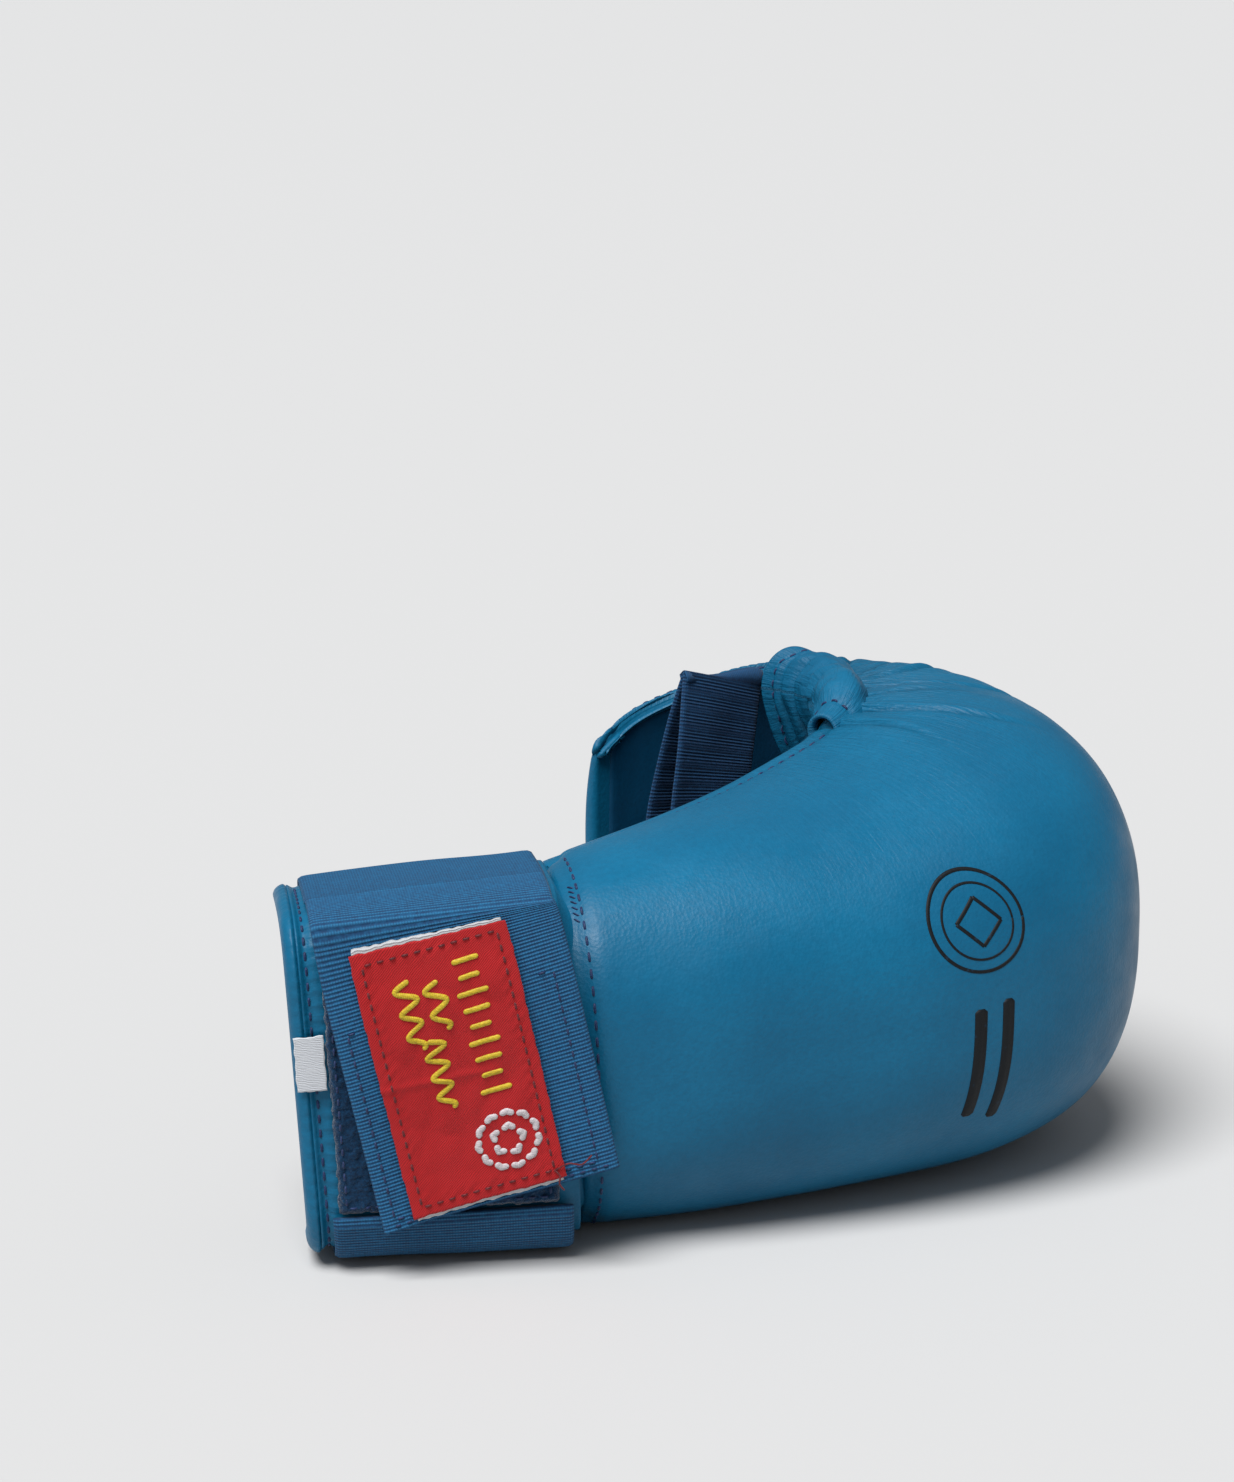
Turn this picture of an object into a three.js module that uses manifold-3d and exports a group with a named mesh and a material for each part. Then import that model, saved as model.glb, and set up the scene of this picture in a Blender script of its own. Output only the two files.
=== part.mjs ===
// Karate mitt for the right hand: a moulded pad over the back of the hand and the curled fingers, in a
// sewn leather cover, with a padded thumb roll, an elastic finger loop and a wrist cuff closed by a strap.
// Millimetres. The mitt lies on its little-finger side: +X runs from wrist to knuckles, +Y from the back
// of the hand to the palm, +Z towards the thumb. The origin is on the flat of the little-finger side.
import * as THREE from "three";
import { mergeVertices } from "three/addons/utils/BufferGeometryUtils.js";
import Module from "manifold-3d";

const wasm = await Module();
wasm.setup();

// Driving dimensions
const ORIGIN = new THREE.Vector3(51.75, 29.4, 0); // from the wrist crease to the part's origin
const GAP = 0.3; // between neighbouring layers
const COVER = 1.2; // leather of the cover
const LINING = 1.0;
const BOX_POWER = 2.6; // how square a cross-section of the pad is: 2 is an ellipse
const TUCK = 0.1; // share of its width that a side pulls in by, at its edge
const THIN_EDGE = 0.55; // share of its thickness that a side loses at its edge
const ACROSS = 20; // facets across the pad
const ALONG = 30; // facets along the pad

const CUFF_LEAN = THREE.MathUtils.degToRad(22); // how far the cuff leans to the palm
const CUFF_PLACE = [-7.5, -22.4]; // the crease over the back of the wrist, which the cuff leans about
const CUFF_START = 1.5; // from the crease
const CUFF_LENGTH = 58.8;
const CUFF_HALF_WIDTH = 42.8;
const CUFF_POWER = 6.5; // the cuff's back is flat, with tight corners
const CUFF_BACK = -24.6; // the cuff's outer face over the back of the wrist, in the cuff's own frame
const CUFF_TAPER = 0.00092; // share of its height that the cuff loses for each millimetre from the crease
const WRIST_SLANT = 0.07; // how far the crease runs to the knuckles for each millimetre down
const WRIST_TOP = 90;
const CUFF_EDGE = 14; // its two palm-side edges
const STRAP_THICK = 1.8;
const STRAP_WIDTH = 54;
const CUFF_MIDDLE = CUFF_HALF_WIDTH + GAP + STRAP_THICK - 0.35; // height of the cuff's middle
const LOOP_PAD_THICK = 1.6;
const HOOK_PAD_THICK = 1.4;
const FLAP_LIFT = GAP + LOOP_PAD_THICK + GAP + HOOK_PAD_THICK + GAP; // from the cuff to the strap's free end
const FLAP_SLANT = Math.tan(THREE.MathUtils.degToRad(8.5));
const FLAP_TURN = 0.24; // slope of the strap's end across its width, as it hangs from the fold
const PEEL_HINGE_DEPTH = -12; // where the strap's free part starts, on the thumb side
const TIP_HINGE = 39.5; // above the cuff's middle
const TIP_END = -29;

// The pad's sections, from the wrist crease to the end of the finger flap. Each is the outer line's point
// over the back, the side's edge, the half width, and the thickness over the back and at the sides.
const SECTIONS = [
  { back: [-7.5, -22.4], edge: [10, 21.7], half: 45.5, thick: 9, side: 8 },
  { back: [30, -33.2], edge: [40, 23], half: 48.5, thick: 13, side: 11 },
  { back: [64, -40.3], edge: [61, 27.5], half: 50.5, thick: 18, side: 14 },
  { back: [95, -43.5], edge: [79, 31], half: 53, thick: 22, side: 15 },
  { back: [121, -40.7], edge: [91.5, 33], half: 55.5, thick: 24, side: 16 },
  { back: [141.5, -31.3], edge: [102, 35.5], half: 57.5, thick: 24, side: 16 },
  { back: [156.5, -16], edge: [110, 41], half: 58.5, thick: 24, side: 16 },
  { back: [165.5, 3.8], edge: [116, 49], half: 58.5, thick: 23, side: 16 },
  { back: [167, 25.6], edge: [119.5, 57.5], half: 58.5, thick: 22, side: 15 },
  { back: [163, 47.4], edge: [120.5, 66], half: 58, thick: 20, side: 14 },
  { back: [154.5, 66.3], edge: [118.5, 74.5], half: 57.5, thick: 17, side: 12 },
  { back: [140, 81.5], edge: [113, 83], half: 56.5, thick: 13, side: 11 },
  { back: [119.5, 94], edge: [104, 89.5], half: 54.5, thick: 9.5, side: 10 },
  { back: [98.5, 101], edge: [91, 94], half: 50, thick: 7, side: 8.5 },
  { back: [80.5, 102], edge: [79, 95.5], half: 45, thick: 5.6, side: 7.5 },
  { back: [65, 98.5], edge: [67.5, 93.5], half: 38, thick: 4.5, side: 6.5 },
];
const FLAT = 0.925; // the middle's height as a share of the half width, which presses the little-finger side flat
const FULL_HALF = 58.5; // the widest section's half width

// Thumb roll: a leather sleeve round foam, along the thumb-side edge
const ROLL_FROM = 4.2 / 15; // along the pad
const ROLL_TO = 9.3 / 15;
const ROLL_WALL = 1.3;
const ROLL_FOAM_SETBACK = 0.12; // share of the roll's length left hollow at each end

// Finger loop: a flat ring of elastic round the four fingers
const LOOP_CENTRE = [94, 77];
const LOOP_TILT = THREE.MathUtils.degToRad(15); // its band leans this far from +X to the palm
const LOOP_BAND = 24;
const LOOP_HALF_THICK = 7;
const LOOP_TOP = 46; // above the pad's middle
const LOOP_BOTTOM = -43;
const LOOP_WALL = 1.6;

const leatherBlue = { color: 0x1d6a97, roughness: 0.5, metalness: 0 };
const elasticBlue = { color: 0x1f5c9e, roughness: 0.9, metalness: 0 };
const darkElastic = { color: 0x12386e, roughness: 0.95, metalness: 0 };
const pileBlue = { color: 0x0c2f4e, roughness: 1, metalness: 0 };
const liningBlue = { color: 0x17466a, roughness: 0.8, metalness: 0 };
const foamGrey = { color: 0xb9bcc0, roughness: 0.95, metalness: 0 };
const labelRed = { color: 0xc8202a, roughness: 0.8, metalness: 0 };
const motifYellow = { color: 0xe0c63a, roughness: 0.7, metalness: 0 };
const tagWhite = { color: 0xe4e6e8, roughness: 0.7, metalness: 0 };

// ---------- closed bodies ----------

// A closed body through rings of points. Each ring runs out along one side and back along the other, so
// its ends are closed by a strip between the two sides.
function loft(rings) {
  const count = rings[0].length;
  const last = rings.length - 1;
  const index = [];
  for (let i = 0; i < last; i++) {
    for (let j = 0; j < count; j++) {
      const next = (j + 1) % count;
      const [a, b, c, d] = [i * count + j, i * count + next, (i + 1) * count + next, (i + 1) * count + j];
      index.push(a, b, c, a, c, d);
    }
  }
  for (let j = 0; j < count / 2 - 1; j++) {
    const [a, b, c, d] = [j, j + 1, count - 2 - j, count - 1 - j];
    index.push(a, c, b, a, d, c);
    const far = last * count;
    index.push(far + a, far + b, far + c, far + a, far + c, far + d);
  }
  const points = rings.flat();
  const geometry = new THREE.BufferGeometry().setFromPoints(points);
  geometry.setIndex(signedVolume(points, index) < 0 ? reversed(index) : index);
  return geometry;
}

function signedVolume(points, index) {
  let sum = 0;
  for (let i = 0; i < index.length; i += 3) {
    const [a, b, c] = [points[index[i]], points[index[i + 1]], points[index[i + 2]]];
    sum += a.dot(new THREE.Vector3().crossVectors(b, c));
  }
  return sum;
}

function reversed(index) {
  const turned = [];
  for (let i = 0; i < index.length; i += 3) turned.push(index[i], index[i + 2], index[i + 1]);
  return turned;
}

function toSolid(geometry) {
  const plain = geometry.clone();
  plain.deleteAttribute("normal");
  plain.deleteAttribute("uv");
  const merged = mergeVertices(plain, 1e-4);
  return new wasm.Manifold(
    new wasm.Mesh({
      numProp: 3,
      vertProperties: merged.attributes.position.array,
      triVerts: new Uint32Array(merged.index.array),
    }),
  );
}

function toGeometry(solid) {
  const mesh = solid.getMesh();
  const geometry = new THREE.BufferGeometry();
  geometry.setAttribute("position", new THREE.BufferAttribute(mesh.vertProperties, 3));
  geometry.setIndex(new THREE.BufferAttribute(mesh.triVerts, 1));
  return geometry;
}

function cut(body, ...tools) {
  return toGeometry(tools.reduce((left, tool) => left.subtract(toSolid(tool)), toSolid(body)));
}

function piece(name, geometry, look) {
  const mesh = new THREE.Mesh(geometry, new THREE.MeshStandardMaterial(look));
  mesh.name = name;
  return mesh;
}

const steps = (from, to, count) => Array.from({ length: count + 1 }, (_, i) => from + ((to - from) * i) / count);

// ---------- the pad: cover, foam and lining ----------

const curveOf = (pick) => new THREE.SplineCurve(SECTIONS.map((s, i) => new THREE.Vector2(...pick(s, i))));
const backLine = curveOf((s) => s.back);
const edgeLine = curveOf((s) => s.edge);
const widths = curveOf((s, i) => [s.half, (i > 6 ? FULL_HALF : s.half) * FLAT]);
const thicknesses = curveOf((s) => [s.thick, s.side]);

const sideThickness = (u, v) => thicknesses.getPoint(u).y * (1 - THIN_EDGE * Math.abs(v) ** 5);
const middleHeight = (u) => widths.getPoint(u).y;

// Depths below the outer face, over the back and at the sides
const fromOutside = (depth) => () => ({ back: depth, side: depth, floor: depth });
const fromInside = (depth) => (u, v) => ({
  back: thicknesses.getPoint(u).x - depth,
  side: sideThickness(u, v) - depth,
  floor: 0,
});

// A point of the pad: u runs from wrist to finger flap, v from the little-finger edge, -1, to the thumb's, 1.
function padPoint(u, v, layer, past = 0) {
  const back = backLine.getPoint(u);
  const edge = edgeLine.getPoint(u);
  const reach = edge.clone().sub(back);
  const height = reach.length();
  reach.normalize();
  const depth = layer(u, v);
  const angle = (v * Math.PI) / 2;
  const fromBack = depth.back + (height - depth.back) * (1 - Math.cos(angle) ** (2 / BOX_POWER)) + past * Math.abs(v) ** 8;
  const spread = Math.sign(v) * Math.abs(Math.sin(angle)) ** (2 / BOX_POWER);
  const half = (widths.getPoint(u).x - depth.side) * (1 - TUCK * (fromBack / height) ** 3);
  const at = back.addScaledVector(reach, fromBack);
  const z = Math.max(middleHeight(u) + half * spread, depth.floor);
  return new THREE.Vector3(at.x + WRIST_SLANT * (WRIST_TOP - z) * Math.max(0, 1 - u / 0.12) ** 2, at.y, z);
}

// The same places along every layer, so that neighbours' facets run side by side
function stations(from, to, lowest, highest, count) {
  const apart = (0.25 * (highest - lowest)) / count;
  const between = steps(lowest, highest, count).filter((t) => t > from + apart && t < to - apart);
  return [from, ...between, to];
}

// A slab of the pad between two layers. Insets are shares of its length and width.
function padSlab(outer, inner, { from = 0, to = 1, inset = 0, past = 0 } = {}) {
  const across = stations(-1 + inset, 1 - inset, -1, 1, ACROSS);
  return loft(
    stations(from, to, 0, 1, ALONG).map((u) => [
      ...across.map((v) => padPoint(u, v, outer, past)),
      ...[...across].reverse().map((v) => padPoint(u, v, inner, past)),
    ]),
  );
}

const END_INSET = 0.006; // share of the pad's length turned in at each end
const SIDE_INSET = 0.055; // share of its half width, at each edge
const LINING_SPLIT = 0.5; // where the hand's lining meets the fingers'

function makePad() {
  const whole = padSlab(fromOutside(0), fromInside(0));
  const room = padSlab(fromOutside(COVER), fromInside(-3), {
    from: END_INSET,
    to: 1 - END_INSET,
    inset: SIDE_INSET,
  });
  const within = { from: END_INSET * 1.5, to: 1 - END_INSET * 1.5, inset: SIDE_INSET * 1.7 };
  const liningTop = LINING + GAP;
  return [
    piece("outer_cover", cut(whole, room), leatherBlue),
    piece("foam_core", padSlab(fromOutside(COVER + GAP), fromInside(liningTop + GAP), within), foamGrey),
    piece(
      "hand_lining",
      padSlab(fromInside(liningTop), fromInside(GAP), { ...within, to: LINING_SPLIT }),
      liningBlue,
    ),
    piece(
      "finger_lining",
      padSlab(fromInside(liningTop), fromInside(GAP), { ...within, from: LINING_SPLIT + 0.003 }),
      liningBlue,
    ),
  ];
}

// ---------- thumb roll ----------

// The roll's centre and radii: in the plane of the hand, and towards the thumb
function rollSection(u) {
  const share = (u - ROLL_FROM) / (ROLL_TO - ROLL_FROM);
  const flat = THREE.MathUtils.lerp(5.6, 7.2, share);
  const tall = THREE.MathUtils.lerp(6.2, 11.4, share ** 1.5);
  const rim = padPoint(u, 1, (a, b) => ({ back: 0, side: sideThickness(a, b) / 2, floor: 0 }));
  const back = backLine.getPoint(u);
  const reach = edgeLine.getPoint(u).sub(back).normalize();
  const centre = new THREE.Vector3(
    rim.x + reach.x * (flat + 1),
    rim.y + reach.y * (flat + 1),
    rim.z,
  );
  return { centre, reach, flat, tall };
}

function rollLoft(from, to, inwards, count = 20, around = 20) {
  return loft(
    steps(from, to, count).map((u) => {
      const { centre, reach, flat, tall } = rollSection(u);
      return Array.from({ length: around }, (_, i) => {
        const angle = (2 * Math.PI * (i + 0.5)) / around;
        const out = (flat - inwards) * Math.cos(angle);
        return new THREE.Vector3(
          centre.x + reach.x * out,
          centre.y + reach.y * out,
          centre.z + (tall - inwards) * Math.sin(angle),
        );
      });
    }),
  );
}

function makeRoll() {
  const over = 0.02;
  const setback = (ROLL_TO - ROLL_FROM) * ROLL_FOAM_SETBACK;
  return [
    piece(
      "thumb_roll_sleeve",
      cut(rollLoft(ROLL_FROM, ROLL_TO, 0), rollLoft(ROLL_FROM - over, ROLL_TO + over, ROLL_WALL, 24)),
      leatherBlue,
    ),
    piece(
      "thumb_roll_foam",
      rollLoft(ROLL_FROM + setback, ROLL_TO - setback, ROLL_WALL + GAP, 12, 16),
      foamGrey,
    ),
  ];
}

// ---------- finger loop ----------

function roundedOutline(Target, left, right, bottom, top, radius) {
  const outline = new Target();
  outline.moveTo(left + radius, bottom);
  outline.lineTo(right - radius, bottom);
  outline.absarc(right - radius, bottom + radius, radius, -Math.PI / 2, 0);
  outline.lineTo(right, top - radius);
  outline.absarc(right - radius, top - radius, radius, 0, Math.PI / 2);
  outline.lineTo(left + radius, top);
  outline.absarc(left + radius, top - radius, radius, Math.PI / 2, Math.PI);
  outline.lineTo(left, bottom + radius);
  outline.absarc(left + radius, bottom + radius, radius, Math.PI, Math.PI * 1.5);
  return outline;
}

function makeFingerLoop() {
  const half = LOOP_HALF_THICK;
  const inner = half - LOOP_WALL;
  const ring = roundedOutline(THREE.Shape, -half, half, LOOP_BOTTOM, LOOP_TOP, half * 0.8);
  ring.holes.push(
    roundedOutline(THREE.Path, -inner, inner, LOOP_BOTTOM + LOOP_WALL, LOOP_TOP - LOOP_WALL, inner * 0.75),
  );
  const band = new THREE.ExtrudeGeometry(ring, { depth: LOOP_BAND, bevelEnabled: false, curveSegments: 5 });
  band.translate(0, 0, -LOOP_BAND / 2);
  band.rotateX(Math.PI / 2); // the ring stands up
  band.rotateZ(-Math.PI / 2); // and its band lies along X
  const group = new THREE.Group();
  group.position.set(...LOOP_CENTRE, middleHeight(0.7));
  group.rotation.z = LOOP_TILT;
  group.add(piece("finger_loop", band, elasticBlue));
  const tabs = [
    ["finger_loop_tab_thumb_side", LOOP_TOP - 14],
    ["finger_loop_tab_little_side", LOOP_BOTTOM + 6],
  ];
  for (const [name, low] of tabs) {
    const tab = new THREE.BoxGeometry(16, 1.6, 9);
    tab.translate(0, half + GAP + 0.8, low + 4.5);
    group.add(piece(name, tab, darkElastic));
  }
  return group;
}

// ---------- cuff ----------

// A point of the cuff's cross-section, in the cuff's own frame: depth to the palm and height. v runs from
// the little-finger edge, -1, to the thumb's, 1.
function cuffPoint(v, depth) {
  const angle = (v * Math.PI) / 2;
  const tall = CUFF_EDGE - CUFF_BACK - depth;
  const fromBack = tall * (1 - Math.cos(angle) ** (2 / CUFF_POWER));
  const spread = Math.sign(v) * Math.abs(Math.sin(angle)) ** (2 / CUFF_POWER);
  const half = (CUFF_HALF_WIDTH - depth) * (1 - 0.04 * (fromBack / tall) ** 3);
  return new THREE.Vector2(CUFF_BACK + depth + fromBack, CUFF_MIDDLE + half * spread);
}

// A layer of the cuff between two depths, from one distance from the crease to another
function cuffLayer(outer, inner, near, far) {
  const across = steps(-1, 1, 2 * ACROSS);
  const outline = [
    ...across.map((v) => cuffPoint(v, outer)),
    ...[...across].reverse().map((v) => cuffPoint(v, inner)),
  ];
  return loft([-near, -far].map((x) => outline.map((p) => new THREE.Vector3(x, p.x, p.y))));
}

// A strip of webbing along a line of points, wide along X
function webbing(line, thick, near, far, slant = 0) {
  const side = (sign) =>
    line.map((p, i) => {
      const before = line[Math.max(i - 1, 0)];
      const after = line[Math.min(i + 1, line.length - 1)];
      const along = after.clone().sub(before).normalize();
      return new THREE.Vector2(p.x - along.y * sign * (thick / 2), p.y + along.x * sign * (thick / 2));
    });
  const outline = [...side(1), ...side(-1).reverse()];
  const top = CUFF_MIDDLE + CUFF_HALF_WIDTH;
  return loft(
    [-near, -far].map((x) => outline.map((p) => new THREE.Vector3(x + slant * Math.max(top - p.y, 0), p.x, p.y))),
  );
}

const STRAP_NEAR = CUFF_START + 2;
const STRAP_FAR = STRAP_NEAR + STRAP_WIDTH;
const LOOP_PAD_BOTTOM = -29; // above the cuff's middle


// The flat stretch over the back of the wrist: a box between two depths outside the cuff
function backBox(thick, lift, near, far, low, high, slant = 0) {
  const line = [low, high].map((z) => new THREE.Vector2(CUFF_BACK - lift - thick / 2, CUFF_MIDDLE + z));
  return webbing(line, thick, near, far, slant);
}

// A thin embroidered disc on the label
function labelDisc(fromCrease, above, radius, lift) {
  const z = CUFF_MIDDLE + above;
  const top = CUFF_MIDDLE + CUFF_HALF_WIDTH;
  const disc = new THREE.CylinderGeometry(radius, radius, 0.5, 24);
  disc.translate(-fromCrease + FLAP_SLANT * (top - z), CUFF_BACK - lift - 0.25, z);
  return disc;
}

const sideLine = (from, to, count, lift) => steps(from, to, count).map((v, i) => cuffPoint(v, -lift(i / count)));

// Share of the half section at which the thumb side reaches a given depth
function sideShare(depth) {
  return steps(0.2, 1, 400).find((v) => cuffPoint(v, 0).x > depth);
}

function strapPalmLine() {
  const lift = GAP + STRAP_THICK / 2;
  const base = steps(LOOP_PAD_BOTTOM - 1, -32, 1).map((z) => new THREE.Vector2(CUFF_BACK - lift, CUFF_MIDDLE + z));
  const little = sideLine(-0.42, -1, 10, () => lift);
  const bulge = [
    little.at(-1),
    ...[
      [20, -39],
      [23.5, -31],
      [25.5, -17],
      [26.5, 0],
      [25.5, 17],
      [23.5, 31],
      [20, 39],
    ].map(([y, z]) => new THREE.Vector2(y, CUFF_MIDDLE + z)),
  ];
  const thumb = sideLine(1, sideShare(PEEL_HINGE_DEPTH), 8, (t) => lift + t * 0.8);
  const palm = new THREE.SplineCurve([...bulge, thumb[0]]).getPoints(20);
  return [...base, ...little.slice(0, -1), ...palm, ...thumb.slice(1)];
}

function strapFoldLine() {
  const start = cuffPoint(sideShare(PEEL_HINGE_DEPTH) - 0.02, -(GAP + STRAP_THICK / 2 + 0.8));
  const corner = [
    [-19, 44.3],
    [-24.6, 43.8],
    [-28.3, 42.6],
    [CUFF_BACK - FLAP_LIFT - STRAP_THICK / 2, 41],
  ].map(([y, z]) => new THREE.Vector2(y, CUFF_MIDDLE + z));
  const face = [TIP_HINGE + 0.8, TIP_HINGE + 0.2].map(
    (z) => new THREE.Vector2(CUFF_BACK - FLAP_LIFT - STRAP_THICK / 2, CUFF_MIDDLE + z),
  );
  return [...new THREE.SplineCurve([start, ...corner]).getPoints(12), ...face];
}

// The cuff narrows away from the hand and follows the slant of the crease; the strap's free end also turns
function settle(geometry, hangs) {
  const place = geometry.getAttribute("position");
  const top = CUFF_MIDDLE + CUFF_HALF_WIDTH;
  const middle = -(STRAP_NEAR + STRAP_FAR) / 2;
  for (let i = 0; i < place.count; i++) {
    let [x, y, z] = [place.getX(i), place.getY(i), place.getZ(i)];
    if (hangs) {
      const share = Math.max(0, top - z) / (top - CUFF_MIDDLE - TIP_END);
      z += (x - middle) * FLAP_TURN * ((1 - Math.exp(-3 * share)) / (1 - Math.exp(-3)));
    }
    z *= 1 + CUFF_TAPER * x;
    const shift = WRIST_SLANT * (WRIST_TOP - z);
    place.setXYZ(i, x + shift * Math.cos(CUFF_LEAN), y + shift * Math.sin(CUFF_LEAN), z);
  }
}

function makeCuff() {
  const group = new THREE.Group();
  group.position.set(...CUFF_PLACE, 0);
  group.rotation.z = -CUFF_LEAN;
  const near = CUFF_START;
  const far = CUFF_START + CUFF_LENGTH;
  const edge = far + GAP;
  const coverIn = 1.1;
  const padIn = 3.8;
  const liningIn = 4.9;
  const flapFar = STRAP_FAR - 0.5;
  const label = { near: STRAP_NEAR + 12, far: STRAP_NEAR + 46.8, low: -27.5, high: 37.2 };
  const lift = FLAP_LIFT + STRAP_THICK + GAP;
  group.add(
    piece("cuff_cover", cuffLayer(0, coverIn, near, far), leatherBlue),
    piece("cuff_padding", cuffLayer(coverIn + GAP, padIn, near, far), foamGrey),
    piece("cuff_lining", cuffLayer(padIn + GAP, liningIn, near, far), liningBlue),
    piece("cuff_binding", cuffLayer(-0.5, liningIn + 0.5, edge, edge + 2.7), leatherBlue),
    piece(
      "loop_pad",
      backBox(LOOP_PAD_THICK, GAP, near + 5, near + 54.3, LOOP_PAD_BOTTOM, 27),
      pileBlue,
    ),
    piece("strap_palm_span", webbing(strapPalmLine(), STRAP_THICK, STRAP_NEAR, STRAP_FAR), darkElastic),
    piece("strap_fold", webbing(strapFoldLine(), STRAP_THICK, STRAP_NEAR, flapFar, FLAP_SLANT), elasticBlue),
    piece(
      "strap_tip",
      backBox(STRAP_THICK, FLAP_LIFT, STRAP_NEAR, flapFar, TIP_END, TIP_HINGE - 0.2, FLAP_SLANT),
      elasticBlue,
    ),
    piece(
      "hook_pad",
      backBox(HOOK_PAD_THICK, FLAP_LIFT - GAP - HOOK_PAD_THICK, STRAP_NEAR + 4.5, STRAP_NEAR + 48, -28, 20, FLAP_SLANT),
      pileBlue,
    ),
    piece(
      "label_backing",
      backBox(0.5, lift, label.near - 1, label.far + 1, label.low - 1, label.high + 1, FLAP_SLANT),
      tagWhite,
    ),
    piece(
      "strap_label",
      backBox(0.6, lift + 0.5 + GAP, label.near, label.far, label.low, label.high, FLAP_SLANT),
      labelRed,
    ),
    piece("label_emblem", labelDisc(label.near + 12, label.low + 13, 8, lift + 1.1 + 2 * GAP), tagWhite),
    piece(
      "label_motif",
      backBox(0.5, lift + 1.1 + 2 * GAP, label.near + 10, label.near + 14, label.low + 25, label.high - 6, FLAP_SLANT),
      motifYellow,
    ),
    piece("size_tag", backBox(0.6, 0.8, near + 54.8, edge + 2.4, 2, 15.5), tagWhite),
  );
  const hanging = ["strap_fold", "strap_tip", "hook_pad", "label_backing", "strap_label", "label_emblem", "label_motif"];
  for (const mesh of group.children) {
    settle(mesh.geometry, hanging.includes(mesh.name));
    mesh.position.y = -CUFF_BACK;
  }
  return group;
}

const mitt = new THREE.Group();
mitt.position.copy(ORIGIN).negate();
mitt.add(...makePad(), ...makeRoll(), makeFingerLoop(), makeCuff());

export default new THREE.Group().add(mitt);
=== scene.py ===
"""Looks of the karate mitt for the right hand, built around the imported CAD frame.

Shapes are worked out in millimetres in the hand's own frame: X from the wrist crease to the knuckles,
D from the back of the hand to the palm, Z towards the thumb. part() turns that into the row's metres.
"""
import math

import bmesh
import bpy
import numpy as np
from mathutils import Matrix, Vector


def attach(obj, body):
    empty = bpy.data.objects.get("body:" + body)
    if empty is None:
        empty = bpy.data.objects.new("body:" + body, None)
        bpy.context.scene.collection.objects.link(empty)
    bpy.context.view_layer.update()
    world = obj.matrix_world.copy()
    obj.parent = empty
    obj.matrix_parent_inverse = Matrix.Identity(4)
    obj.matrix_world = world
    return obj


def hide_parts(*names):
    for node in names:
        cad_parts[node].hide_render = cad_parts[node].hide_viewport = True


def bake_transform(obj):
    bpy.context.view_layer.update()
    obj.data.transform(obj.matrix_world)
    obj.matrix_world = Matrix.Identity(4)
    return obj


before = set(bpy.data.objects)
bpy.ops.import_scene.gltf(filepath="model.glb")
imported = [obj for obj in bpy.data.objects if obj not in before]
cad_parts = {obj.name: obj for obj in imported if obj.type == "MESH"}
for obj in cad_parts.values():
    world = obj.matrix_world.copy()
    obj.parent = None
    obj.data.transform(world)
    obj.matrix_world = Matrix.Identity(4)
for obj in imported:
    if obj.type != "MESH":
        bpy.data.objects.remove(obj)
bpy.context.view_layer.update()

# ---------------------------------------------------------------- frames and curves

ORIGIN = np.array([51.75, 29.4, 0.0])  # the frame's origin, as a point of the hand's frame
LEAN = math.radians(22)  # the cuff's lean to the palm
CUFF_BACK, CUFF_EDGE = -24.6, 14.0  # depths of the cuff's back and of its palm edges
CUFF_HALF, CUFF_MIDDLE = 42.8, 44.55
POWER = 2 / 2.6  # squareness of the pad's cross-section
WRIST_SLANT, WRIST_TOP = 0.07, 90  # the wrist end leans out towards the little finger


def part(p):
    return (np.asarray(p, float) - ORIGIN) / 1000


def spline(values):
    """Uniform Catmull-Rom curve through the values, its parameter from 0 to 1."""
    pts = np.array(values, float)
    last = len(pts) - 1

    def at(t):
        p = np.clip(np.asarray(t, float), 0, 1) * last
        i = np.minimum(np.floor(p).astype(int), last)
        w = (p - i)[..., None]
        p0, p1 = pts[np.maximum(i - 1, 0)], pts[i]
        p2, p3 = pts[np.minimum(i + 1, last)], pts[np.minimum(i + 2, last)]
        a, b = (p2 - p0) / 2, (p3 - p1) / 2
        return (2 * p1 - 2 * p2 + a + b) * w**3 + (3 * p2 - 3 * p1 - 2 * a - b) * w**2 + a * w + p1

    return at


def smooth(t):
    t = np.clip(t, 0, 1)
    return t * t * (3 - 2 * t)


def bell(x, width):
    return np.exp(-((x / width) ** 2))


def lerp(a, b, t):
    return a + (b - a) * t


def unit(v):
    return v / np.maximum(np.linalg.norm(v, axis=-1, keepdims=True), 1e-9)


def arc(points):
    """Length along a line of points, from 0."""
    step = np.linalg.norm(np.diff(points, axis=0), axis=1)
    return np.concatenate([[0], np.cumsum(step)])


def runs(corners, count):
    """The straight runs between corners, count points each."""
    t = np.linspace(0, 1, count)[:, None]
    return [lerp(np.array(p, float), np.array(q, float), t) for p, q in zip(corners, corners[1:])]


def even(points, pitch=None, count=None):
    """The same line at even spacing."""
    length = arc(points)
    count = count or max(2, int(round(length[-1] / pitch)) + 1)
    at = np.linspace(0, length[-1], count)
    return np.stack([np.interp(at, length, points[:, k]) for k in range(points.shape[1])], -1)


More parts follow.
